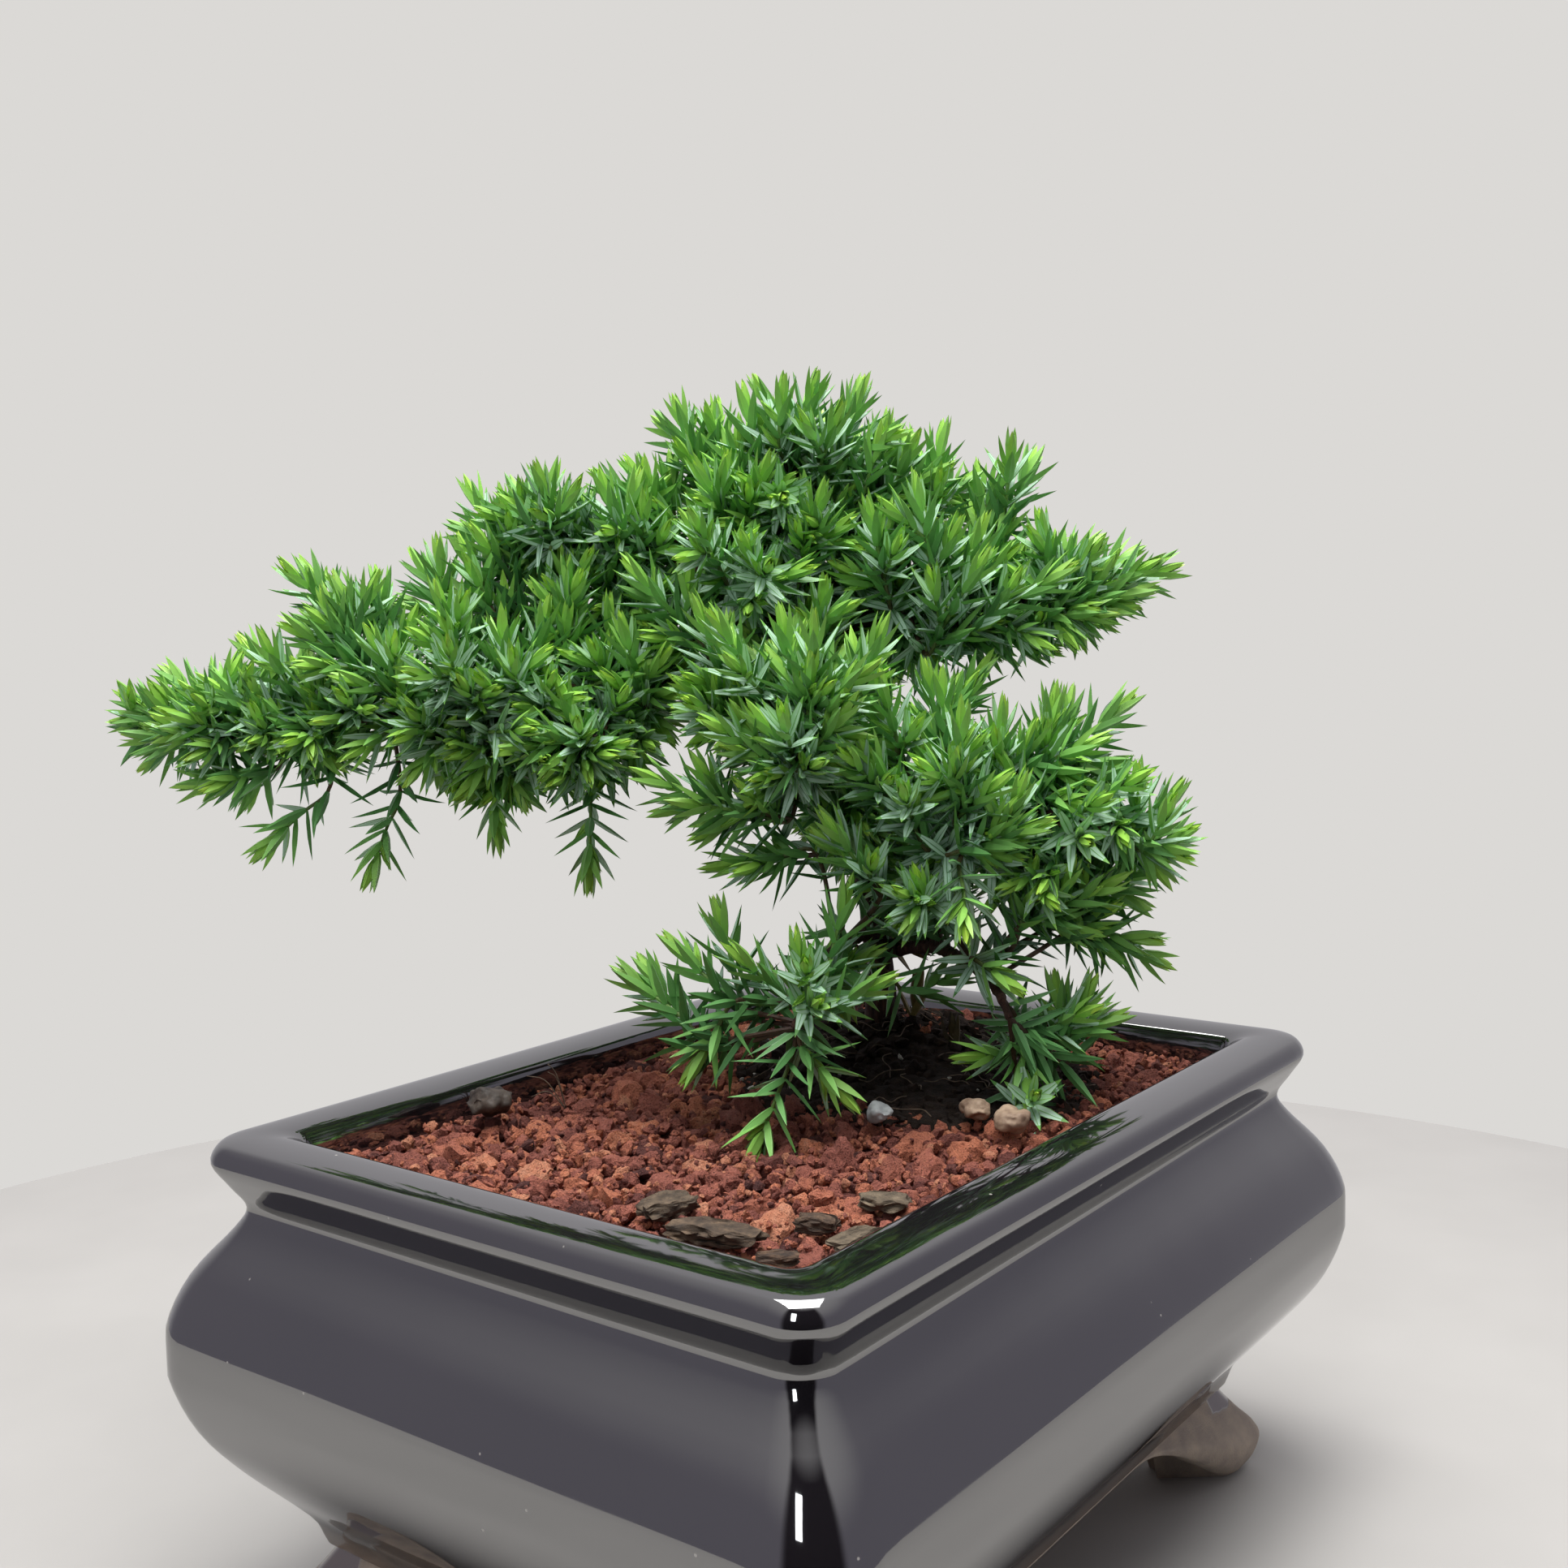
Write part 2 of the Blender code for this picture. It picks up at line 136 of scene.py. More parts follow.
def outline(offset):
    """Points round the pot at an offset from the rim's outline: x, y and whether in a corner."""
    half_x = RIM_LENGTH / 2 + offset
    half_y = RIM_WIDTH / 2 + offset
    radius = max(RIM_CORNER + offset / 2, 3)
    points = []
    for turn, (sx, sy) in enumerate(((1, 1), (-1, 1), (-1, -1), (1, -1))):
        for step in range(CORNER_PARTS + 1):
            angle = math.radians(90 * turn + 90 * step / CORNER_PARTS)
            x = sx * (half_x - radius) + radius * math.cos(angle)
            y = sy * (half_y - radius) + radius * math.sin(angle)
            points.append((x, y, True))
        parts = LONG_PARTS if turn % 2 == 0 else SHORT_PARTS
        for step in range(1, parts):
            share = 1 - 2 * step / parts
            if turn % 2 == 0:
                points.append((sx * (half_x - radius) * share, sy * half_y, False))
            else:
                points.append((sx * half_x, sy * (half_y - radius) * share, False))
    return points


def arch_height(x, y):
    """Height of the pot's lower edge: it stands on the corners and arches between them."""
    along = min(abs(x), abs(y) + (RIM_LENGTH - RIM_WIDTH) / 2)
    reach = max(FOOT_REACH - along - FOOT_FLAT, 0) / ARCH_RUN
    return ARCH_RISE * math.sin(min(reach, 1) * math.pi / 2) ** 1.15


def foot_ring(offset, height):
    """A ring of the feet, with how bare of glaze each point is."""
    ring = []
    behind = offset <= FOOT_BACK[0][0]
    strip = outline(offset if behind else STRIP_OFFSET)
    for (x, y, corner), (x_strip, y_strip, _) in zip(outline(offset), strip):
        low = 0 if corner else arch_height(x, y)
        share = (BASE_Z - low) / BASE_Z
        x = x_strip + (x - x_strip) * share
        y = y_strip + (y - y_strip) * share
        ring.append((x, y, low + height * share, 1 if behind else min(low / 5, 1)))
    return ring


def wall_ring(offset, height, wavers):
    """A level ring of the wall, pulled in a little here and there as a hand-finished cast is."""
    ring = []
    for x, y, _ in outline(min(offset, OUTER_WALL[4][0])):
        waver = 0
        if wavers:
            waver = HAND_WAVER * (0.5 + 0.5 * noise.noise(Vector((x, y, height)) / 38))
        reach = math.hypot(x, y)
        ring.append((x * (1 - waver / reach), y * (1 - waver / reach), height, 0))
    return ring


def new_piece(name, data):
    """An object for a mesh whose points are in millimetres from the middle of the pot."""
    data.transform(Matrix.Translation(MIDDLE) @ Matrix.Scale(MM, 4))
    data.update()
    made = bpy.data.objects.new(name, data)
    bpy.context.scene.collection.objects.link(made)
    return made


def make_pot_body():
    """The casting as one mesh, from the backs of the feet up the wall and down inside."""
    mesh = bmesh.new()
    bare_layer = mesh.verts.layers.float.new("bare")

    def add_ring(ring):
        added = []
        for x, y, z, bare in ring:
            vert = mesh.verts.new((x, y, max(z, 0)))
            vert[bare_layer] = bare
            added.append(vert)
        return added

    def join(lower, upper):
        for i in range(len(lower)):
            j = (i + 1) % len(lower)
            mesh.faces.new((lower[i], lower[j], upper[j], upper[i]))

    feet = smooth_path(FOOT_FACE[::-1], len(FOOT_FACE) * ROW_PARTS)
    profile = OUTER_WALL + RIM_TOP + INNER_WALL
    wall = smooth_path(profile, (len(profile) - 1) * ROW_PARTS + 1)
    rings = [foot_ring(*row) for row in (*FOOT_BACK[::-1], *feet)]
    rings += [wall_ring(*row, 2 < k < len(OUTER_WALL) * ROW_PARTS) for k, row in enumerate(wall)]
    rows = [add_ring(ring) for ring in rings]
    for lower, upper in zip(rows, rows[1:]):
        join(lower, upper)
    loops = {BASE_Z: [rows[0]], FLOOR_Z: [rows[-1]]}
    for side in (-1, 1):
        for level, bare in ((BASE_Z, 1), (FLOOR_Z, 0.4)):
            circle = []
            for step in range(DRAIN_PARTS):
                angle = 2 * math.pi * step / DRAIN_PARTS
                x = side * DRAIN_X + DRAIN_RADIUS * math.cos(angle)
                circle.append((x, DRAIN_RADIUS * math.sin(angle), level, bare))
            loops[level].append(add_ring(circle))
        join(loops[BASE_Z][-1], loops[FLOOR_Z][-1])
    for level_loops in loops.values():
        edges = []
        for loop in level_loops:
            for pair in zip(loop, loop[1:] + loop[:1]):
                edges.append(mesh.edges.get(pair) or mesh.edges.new(pair))
        bmesh.ops.triangle_fill(mesh, use_beauty=True, edges=edges)
    bmesh.ops.remove_doubles(mesh, verts=mesh.verts, dist=WELD)
    bmesh.ops.recalc_face_normals(mesh, faces=mesh.faces)
    data = bpy.data.meshes.new("pot_body")
    mesh.to_mesh(data)
    mesh.free()
    data.shade_smooth()
    data.set_sharp_from_angle(angle=math.radians(POT_CREASE))
    return new_piece("pot_body", data)


def paint(*chip):
    """A paint-chip colour, 0 to 255, as the renderer's linear colour."""
    return (*(((part / 255 + 0.055) / 1.055) ** 2.4 if part > 10 else part / 3295 for part in chip), 1)


class Socket:
    """An output of a finish's nodes. Arithmetic on it adds Math nodes."""

    def __init__(self, tree, output):
        self.tree = tree
        self.output = output

    def node(self, kind, settings=None, values=None, out=0):
        """Any node: its type, settings to make first, and the values or links of its sockets."""
        made = self.tree.nodes.new("ShaderNode" + kind)
        for key, value in (settings or {}).items():
            if key == "stops":
                ramp = made.color_ramp.elements
                while len(ramp) < len(value):
                    ramp.new(1)
                for stop, (place, shade) in zip(ramp, value):
                    stop.position = place
                    stop.color = shade
            else:
                setattr(made, key, value)
        for key, value in (values or {}).items():
            if isinstance(value, Socket):
                self.tree.links.new(value.output, made.inputs[key])
            else:
                made.inputs[key].default_value = value
        return Socket(self.tree, made.outputs[out])

    def math(self, operation, first, second=0.0):
        return self.node("Math", {"operation": operation}, {0: first, 1: second})

    def __add__(self, other):
        return self.math("ADD", self, other)

    __radd__ = __add__

    def __sub__(self, other):
        return self.math("SUBTRACT", self, other)

    def __rsub__(self, other):
        return self.math("SUBTRACT", other, self)

    def __mul__(self, other):
        return self.math("MULTIPLY", self, other)

    __rmul__ = __mul__

    def __abs__(self):
        return self.math("ABSOLUTE", self)

    def larger(self, other):
        return self.math("MAXIMUM", self, other)

    def between(self, low, high):
        """0 below low, 1 above high and a soft step between them; falls where low is over high."""
        settings = {"interpolation_type": "SMOOTHSTEP"}
        return self.node("MapRange", settings, {"Value": self, "From Min": low, "From Max": high})

    def mix(self, first, second):
        """A colour between two colours, by this value."""
        return self.node("Mix", {"data_type": "RGBA"}, {0: self, 6: first, 7: second}, 2)

    def ramp(self, *stops):
        """A colour by this value, from stops of a place and a paint-chip colour."""
        stops = [(place, paint(*chip)) for place, *chip in stops]
        return self.node("ValToRGB", {"stops": stops}, {0: self})


class Finish(Socket):
    """A material of one glossy or matt surface, which its nodes are made through."""

    def __init__(self, name):
        self.material = bpy.data.materials.new(name)
        self.material.use_nodes = True
        super().__init__(self.material.node_tree, None)
        self.surface = self.tree.nodes["Principled BSDF"]

    def set(self, **values):
        for key, value in values.items():
            socket = self.surface.inputs[key.replace("_", " ")]
            if isinstance(value, Socket):
                self.tree.links.new(value.output, socket)
            else:
                socket.default_value = value

    def place(self, stretch=(1, 1, 1)):
        """The spot on the object in millimetres, squeezed by stretch."""
        spot = self.node("TexCoord", out=3)
        factors = tuple(part / MM for part in stretch)
        return self.node("VectorMath", {"operation": "MULTIPLY"}, {0: spot, 1: factors})

    def noise(self, spot, scale, detail=3.0, rough=0.55):
        values = {"Vector": spot, "Scale": scale, "Detail": detail, "Roughness": rough}
        return self.node("TexNoise", None, values)

    def value(self, name):
        """A value that the mesh carries at its points."""
        return self.node("Attribute", {"attribute_name": name}, out=2)

    def bump(self, height, depth, strength=1.0, below=None):
        """Relief of a depth in millimetres."""
        values = {"Height": height, "Distance": depth * MM, "Strength": strength}
        if below:
            values["Normal"] = below
        return self.node("Bump", None, values)


def glaze_finish():
    glaze = Finish("black_glaze")
    spot = glaze.place()
    height = glaze.node("SeparateXYZ", None, {0: spot}, 2)
    bare = glaze.value("bare")
    runs = glaze.noise(spot, 0.11, 2)
    stop_line = height + (runs - 0.5) * 5
    clay = bare.between(0.45, 0.55).larger(stop_line.between(*GLAZE_STOP))
    thin = (height + (runs - 0.5) * 3).between(*GLAZE_THINS) * (1 - clay)
    grain = glaze.noise(spot, 2.6, 4, 0.7)
    clay_colour = glaze.noise(spot, 0.25, 3).ramp((0.3, 128, 108, 90), (0.7, 170, 148, 124))
    cells, choice = (glaze.node("TexVoronoi", None, {"Vector": spot, "Scale": 0.16}, out) for out in (0, 1))
    picked = glaze.node("SeparateColor", None, {0: choice}).between(0.6, 0.7)
    dust = cells.between(0.045, 0.02) * picked * (1 - clay)
    black = glaze.noise(spot, 0.03, 2).ramp((0.3, 20, 18, 21), (0.7, 27, 24, 27))
    coloured = thin.mix(black, paint(84, 66, 52))
    coloured = dust.mix(coloured, paint(150, 146, 140))
    coloured = clay.mix(coloured, clay_colour)
    relief = glaze.bump(glaze.noise(spot, 0.05, 1), 0.25, 0.35)
    relief = glaze.bump(grain * clay, 0.25, 1.0, relief)
    smears = glaze.noise(spot, 0.04, 4, 0.6).between(0.45, 0.75)
    gloss = 0.045 + smears * 0.05 + dust * 0.4 + clay * 0.75 + thin * 0.1
    glaze.set(Base_Color=coloured, Roughness=gloss, IOR=2.9, Normal=relief)
    return glaze.material


def fit(piece, node=None, finish=None):
    """Finishes a piece and fixes it to the one body, in place of a CAD node if it has one."""
    if finish:
        piece.data.materials.append(finish)
    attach(piece, "root")
    if node:
        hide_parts(node)


fit(make_pot_body(), "pot", glaze_finish())

# ---- the drain meshes and their clips
# A square of black plastic mesh lies over each drain hole, to keep the grit in. A bent
# aluminium wire goes through it and is folded out under the pot.


def mottled(name, scale, detail, stops, rough, rougher=0.0, stretch=(1, 1, 1), relief=0.0, metallic=0.0):
    """A material of one mottle between two colours, rougher where it is paler."""
    finish = Finish(name)
    mottle = finish.noise(finish.place(stretch), scale, detail)
    finish.set(Base_Color=mottle.ramp(*stops), Metallic=metallic)
    finish.set(Roughness=rough + mottle * rougher if rougher else rough)
    if relief:
        finish.set(Normal=finish.bump(mottle, relief))
    return finish.material


def refinish(node, finish):
    """Gives a CAD piece that stays as it is a better material."""
    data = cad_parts[node].data
    data.materials.clear()
    data.materials.append(finish)


drain_plastic = mottled("drain_mesh_plastic", 0.5, 4, ((0.3, 24, 24, 25), (0.75, 52, 50, 47)), 0.4, 0.3)
clip_aluminium = mottled(
    "clip_aluminium", 2.5, 4, ((0.3, 150, 150, 150), (0.7, 205, 204, 200)), 0.25, 0.3,
    stretch=(0.2, 1, 1), metallic=1.0,
)
for side in ("left", "right"):
    refinish(f"drain_mesh_{side}", drain_plastic)
    refinish(f"mesh_clip_{side}", clip_aluminium)

# ---- the bed of lava grit
# Crushed red lava, sieved to a few millimetres, is poured round the root ball up to just under
# the rim. Each grain is a broken, porous lump from maroon to terracotta, and none is glossy.

GRIT_Z = 75
TRUNK_FOOT = (34, 8)
MOUND_HEIGHT = 7.5
MOUND_SPREAD = 17
ROOT_BALL_CENTRE = (27, -5)
ROOT_BALL_RADIUS = 31
BED_TOP = 68
BED_SINK = 2.4
WALL_CLEARANCE = 0.4
PATCH_GRAIN = 3.6
SCATTER_CELL = 8
SCATTER_TRIES = 14
GRAIN_CREASE = 24
PALEST_GRAIN = 0.88


def ground_height(x, y):
    """The level of the grit and the soil: a low mound at the trunk, with small bumps."""
    distance = math.hypot(x - TRUNK_FOOT[0], y - TRUNK_FOOT[1])
    mound = MOUND_HEIGHT * math.exp(-((distance / MOUND_SPREAD) ** 2) / 2)
    return GRIT_Z + mound + 0.6 * noise.noise(Vector((x, y, 0)) / 6)


def in_soil(x, y):
    """How far inside the root ball's edge a spot is, in millimetres."""
    angle = math.atan2(y - ROOT_BALL_CENTRE[1], x - ROOT_BALL_CENTRE[0])
    edge = ROOT_BALL_RADIUS + 1.6 * math.sin(3 * angle + 1) + 0.9 * math.sin(5 * angle)
    return edge - math.hypot(x - ROOT_BALL_CENTRE[0], y - ROOT_BALL_CENTRE[1])


def in_pot(x, y, margin):
    """Whether a spot is inside the pot's mouth by a margin."""
    inset = INNER_WALL[0][0] - WALL_CLEARANCE - margin
    return abs(x) < RIM_LENGTH / 2 + inset and abs(y) < RIM_WIDTH / 2 + inset


def voxel_skin(name, data, cell):
    """The skin of a mesh in even cells."""
    rough = bpy.data.objects.new(name, data)
    bpy.context.scene.collection.objects.link(rough)
    step = rough.modifiers.new("closer_mesh", "REMESH")
    step.mode = "VOXEL"
    step.voxel_size = cell
    step.use_smooth_shade = True
    graph = bpy.context.evaluated_depsgraph_get()
    skin = bpy.data.meshes.new_from_object(rough.evaluated_get(graph))
    bpy.data.objects.remove(rough)
    skin.name = name
    return skin


def move_skin(skin, shift):
    """Moves each point along its normal by shift(place, normal)."""
    normals = [vert.normal.copy() for vert in skin.vertices]
    for vert, normal in zip(skin.vertices, normals):
        vert.co += normal * shift(vert.co, normal)


def refined_copy(node, name, cell, shift):
    """A closer mesh of a CAD piece, moved along its normals by shift(place, normal)."""
    skin = voxel_skin(name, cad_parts[node].data.copy(), cell * MM)
    skin.transform(Matrix.Scale(1 / MM, 4) @ Matrix.Translation(-Vector(MIDDLE)))
    move_skin(skin, shift)
    skin.materials.clear()
    return new_piece(name, skin)


def any_drift(draw, size):
    """A small step in a direction left to chance."""
    return Vector([draw.gauss(0, size) for _ in range(3)])


def mark(data, name, values):
    """Gives each point of a mesh a value that its finish reads."""
    layer = data.attributes.new(name, "FLOAT", "POINT")
    layer.data.foreach_set("value", np.asarray(values, np.float32))


def broken_lump(draw, level, flats, roughness):
    """Unit points and faces of one broken grain: a ball cut by flats and roughened."""
    mesh = bmesh.new()
    bmesh.ops.create_icosphere(mesh, subdivisions=level, radius=1)
    cuts = [(any_drift(draw, 1).normalized(), draw.uniform(0.4, 0.8)) for _ in range(flats)]
    seed = Vector([draw.uniform(0, 90) for _ in range(3)])
    for vert in mesh.verts:
        way = vert.co.normalized()
        reach = min([1.0] + [depth / way.dot(cut) for cut, depth in cuts if way.dot(cut) > 0.05])
        coarse = roughness * noise.noise(way * 2.3 + seed)
        fine = roughness * 0.6 * noise.noise(way * 5 + seed)
        vert.co = way * reach * (1 + coarse + fine)
    points = np.array([vert.co[:] for vert in mesh.verts])
    faces = np.array([[vert.index for vert in face.verts] for face in mesh.faces])
    mesh.free()
    return points, faces


def heap(name, grains, shapes, draw):
    """One piece of many grains. A grain is x, y, z, size and tint, and takes its shape in turn."""
    points, faces, tints = [], [], []
    total = 0
    for k, (x, y, z, size, tint) in enumerate(grains):
        shape, shape_faces = shapes[k % len(shapes)]
        axis = any_drift(draw, 1).normalized()
        turn = np.array(Matrix.Rotation(draw.uniform(0, math.tau), 3, axis))
        spread = np.array([draw.uniform(0.85, 1.3), draw.uniform(0.75, 1.05), draw.uniform(0.55, 0.9)])
        points.append((shape * spread) @ turn.T * (size / 2) + (x, y, z))
        faces.append(shape_faces + total)
        tints.append(np.full(len(shape), tint))
        total += len(shape)
    data = bpy.data.meshes.new(name)
    data.from_pydata(np.concatenate(points), [], np.concatenate(faces).tolist())
    mark(data, "tint", np.concatenate(tints))
    data.shade_smooth()
    data.set_sharp_from_angle(angle=math.radians(GRAIN_CREASE))
    return new_piece(name, data)


def scattered(draw, count, low, high, allowed, room, placed):
    """Spots and sizes for grains that keep a share of their size apart, largest first."""
    sizes = sorted((low + (high - low) * draw.random() ** 1.8 for _ in range(count)), reverse=True)
    spots = []
    for size in sizes:
        for _ in range(SCATTER_TRIES):
            x = draw.uniform(-RIM_LENGTH / 2, RIM_LENGTH / 2)
            y = draw.uniform(-RIM_WIDTH / 2, RIM_WIDTH / 2)
            if not allowed(x, y, size):
                continue
            cell = (int(x // SCATTER_CELL), int(y // SCATTER_CELL))
            near = [
                other
                for i in (-1, 0, 1)
                for j in (-1, 0, 1)
                for other in placed.get((cell[0] + i, cell[1] + j), ())
            ]
            if all(math.hypot(x - ox, y - oy) > room * (size + other) / 2 for ox, oy, other in near):
                placed.setdefault(cell, []).append((x, y, size))
                spots.append((x, y, size))
                break
    return spots


def on_grit(x, y, size):
    """Grit lies outside the root ball, thins out over its edge and makes one patch on the mound."""
    if not in_pot(x, y, size / 2):
        return False
    depth = in_soil(x, y) + 5 * noise.noise(Vector((x, y, 7)) / 9)
    patch = math.hypot((x - 42) / 9, (y - 1) / 7)
    return depth < 4 or (patch < 1 and size < PATCH_GRAIN)


def lava_finish():
    lava = Finish("red_lava")
    spot = lava.place()
    tint = lava.value("tint")
    mottle = lava.noise(spot, 0.9, 5, 0.7)
    pores = lava.noise(spot, 3.4, 3, 0.6)
    shade = tint * 0.7 + mottle * 0.3
    rusty = shade.ramp(
        (0.1, 64, 38, 38), (0.28, 124, 72, 64), (0.5, 172, 104, 88), (0.7, 204, 126, 94), (0.9, 222, 168, 138)
    )
    dusty = mottle.between(0.5, 0.8) * 0.35
    coloured = dusty.mix(rusty, paint(178, 128, 116))
    # the deepest pores, which the relief below sinks lowest, are painted near black: painted shade in the
    # pits
    coloured = (pores.between(0.44, 0.32) * 0.8).mix(coloured, paint(52, 26, 24))
    relief = lava.bump(mottle, 1.3, 1.0)
    relief = lava.bump(pores, 0.5, 1.0, relief)
    lava.set(Base_Color=coloured, Roughness=0.82 + mottle * 0.16, Normal=relief, Specular_IOR_Level=0.3)
    return lava.material


draw = random.Random(7)
red_lava = lava_finish()


def crumbled(place, normal):
    """Lets the bed's top down under the loose grains and breaks it up."""
    if place.z < BED_TOP or normal.z < 0.3:
        return 0.0
    return -BED_SINK - 1.4 * noise.noise(place / 2.2) - 0.7 * noise.noise(place / 0.9)


lava_bed = refined_copy("lava_grit", "lava_bed", 1.1, crumbled)
# the bed under the loose grains gets one fixed tint, well darker than most grains: painted shade in the gaps
# between them
mark(lava_bed.data, "tint", [0.18] * len(lava_bed.data.vertices))
fit(lava_bed, "lava_grit", red_lava)

grain_places = {}
coarse_shapes = [broken_lump(draw, 3, 10, 0.24) for _ in range(12)]
middling_shapes = [broken_lump(draw, 2, 7, 0.26) for _ in range(16)]
lump_spots = scattered(draw, 210, 4.0, 9.5, on_grit, 0.84, grain_places)
grain_spots = scattered(draw, 1500, 2.0, 4.8, on_grit, 0.6, grain_places)
fine_spots = scattered(draw, 2300, 0.8, 2.2, on_grit, 0.4, {})
for name, spots, shapes, sink in (
    ("lava_lumps", lump_spots, coarse_shapes, 0.22),
    ("lava_grains", grain_spots, middling_shapes, 0.3),
    ("lava_fines", fine_spots, middling_shapes[:6], 0.2),
):
    grains = []
    for x, y, size in spots:
        z = ground_height(x, y) - sink * size - draw.uniform(0, 1.1)
        grains.append((x, y, z, size, min(max(draw.gauss(0.5, 0.25), 0), PALEST_GRAIN)))
    fit(heap(name, grains, shapes, draw), None, red_lava)

# ---- the nursery root ball
# The tree was not bare-rooted: its old ball of dark peaty soil stands in the grit, with a low
# mound at the trunk. Crumbs of peat, dead root fibres and white perlite show on top.

SOIL_TOP = 66
FIBRES = 42
FIBRE_REACH = 27
FIBRE_STEP = 1.7
FIBRE_PARTS = 14
FIBRE_SIDES = 5
FIBRE_RADIUS = 0.1
HAIR_RADIUS = 0.09
HAIR_PARTS = 10


def peaty(place, normal):
    """Breaks up the top of the old soil."""
    if place.z < SOIL_TOP or normal.z < 0.2:
        return 0.0
    return -0.7 - 1.1 * noise.noise(place / 2.6) - 0.5 * noise.noise(place / 0.8)


def on_soil(x, y, size):
    return in_soil(x, y) > size / 2 - 1 and in_pot(x, y, size / 2)


def soil_finish():
    soil = Finish("dark_soil")
    spot = soil.place()
    clods = soil.noise(spot, 0.5, 6, 0.7)
    grit = soil.noise(spot, 2.8, 4, 0.7)
    coloured = clods.ramp((0.3, 22, 16, 13), (0.55, 44, 33, 27), (0.8, 74, 56, 44))
    coloured = grit.between(0.62, 0.74).mix(coloured, paint(98, 78, 62))
    relief = soil.bump(grit, 0.4, 0.9, soil.bump(clods, 1.2, 0.9))
    soil.set(Base_Color=coloured, Roughness=0.9 + grit * 0.08, Normal=relief, Specular_IOR_Level=0.25)
    return soil.material


def add_tube(points, faces, path, radii, sides):
    """Appends a closed tube round a path, turned as little as possible on its way."""
    path = [Vector(point) for point in path]
    start = len(points)
    across = None
    for k, here in enumerate(path):
        ahead = (path[min(k + 1, len(path) - 1)] - path[max(k - 1, 0)]).normalized()
        if across is None:
            across = ahead.orthogonal().normalized()
        across = (across - ahead * across.dot(ahead)).normalized()
        other = ahead.cross(across)
        for i in range(sides):
            angle = math.tau * i / sides
            points.append(here + (across * math.cos(angle) + other * math.sin(angle)) * radii[k])
    last = start + (len(path) - 1) * sides
    for low in range(start, last, sides):
        for i in range(sides):
            j = (i + 1) % sides
            faces.append((low + i, low + j, low + sides + j, low + sides + i))
    faces.append(tuple(start + i for i in range(sides))[::-1])
    faces.append(tuple(last + i for i in range(sides)))


dark_soil = soil_finish()
fit(refined_copy("root_ball", "soil_core", 1.0, peaty), "root_ball", dark_soil)

crumbs = []
for x, y, size in scattered(draw, 1500, 0.9, 4.2, on_soil, 0.5, {}):
    crumbs.append((x, y, ground_height(x, y) - 0.5 - draw.uniform(0, 0.8), size, draw.random()))
crumb_shapes = [broken_lump(draw, 2, 5, 0.34) for _ in range(8)]
fit(heap("soil_crumbs", crumbs, crumb_shapes, draw), None, dark_soil)

perlite_spots = scattered(draw, 26, 0.7, 2.0, on_soil, 2.5, {})
perlite_bits = [(x, y, ground_height(x, y) - 0.1, size, 0.5) for x, y, size in perlite_spots]
white_perlite = mottled("perlite", 1.6, 4, ((0.3, 150, 146, 138), (0.7, 214, 211, 204)), 0.85, relief=0.3)
fit(heap("perlite_bits", perlite_bits, middling_shapes[:5], draw), None, white_perlite)

fibre_points, fibre_faces = [], []
for _ in range(FIBRES):
    angle = draw.uniform(0, math.tau)
    reach = FIBRE_REACH * math.sqrt(draw.random())
    x = ROOT_BALL_CENTRE[0] + reach * math.cos(angle)
    y = ROOT_BALL_CENTRE[1] + reach * math.sin(angle)
    heading = draw.uniform(0, math.tau)
    route = []
    for _ in range(6):
        route.append((x, y, ground_height(x, y) + 0.15 + 0.9 * draw.random()))
        heading += draw.gauss(0, 0.5)
        x += math.cos(heading) * FIBRE_STEP
        y += math.sin(heading) * FIBRE_STEP
    path = smooth_path(route, FIBRE_PARTS)
    add_tube(fibre_points, fibre_faces, path, [FIBRE_RADIUS] * FIBRE_PARTS, FIBRE_SIDES)
# four dry hairs of root stand up out of the grit
for tip in ((-23, 36, 82), (-24, 35, 81), (-25, 39, 80), (-26, 37, 77)):
    bow = ((tip[0] - 21) / 2, (tip[1] + 34) / 2, tip[2] / 2 + 39)
    path = smooth_path([(-21, 34, 74), bow, tip], HAIR_PARTS)
    add_tube(fibre_points, fibre_faces, path, [HAIR_RADIUS] * HAIR_PARTS, FIBRE_SIDES)
fibre_data = bpy.data.meshes.new("root_fibres")
fibre_data.from_pydata(fibre_points, [], fibre_faces)
fibre_data.shade_smooth()
dead_root = mottled("dead_root", 1.2, 3, ((0.3, 54, 42, 34), (0.75, 120, 102, 84)), 0.8)
fit(new_piece("root_fibres", fibre_data), None, dead_root)

# ---- bark chips and pebbles
# Six flat chips of weathered pine bark, three worn pebbles and a dark stone came with the grit
# and lie on it. Bark splits in thin leaves along its length, and the pebbles are smooth.

# length, width, thickness, turn in degrees and paleness of each chip
CHIPS = (
    (14, 5.5, 2.4, -77, 0.35), (9, 5.5, 2.6, -15, 0.5), (6, 4, 2.2, -75, 0.15),
    (8.5, 4, 2.0, -8, 0.95), (7.2, 5, 1.8, -67, 0.9), (5.5, 3.5, 2.0, -47, 0.1),
)
CHIP_SINK = 0.6
CHIP_SIDES = 44
CHIP_ROWS = 46
SQUARENESS = 0.28
CHIP_CREASE = 30


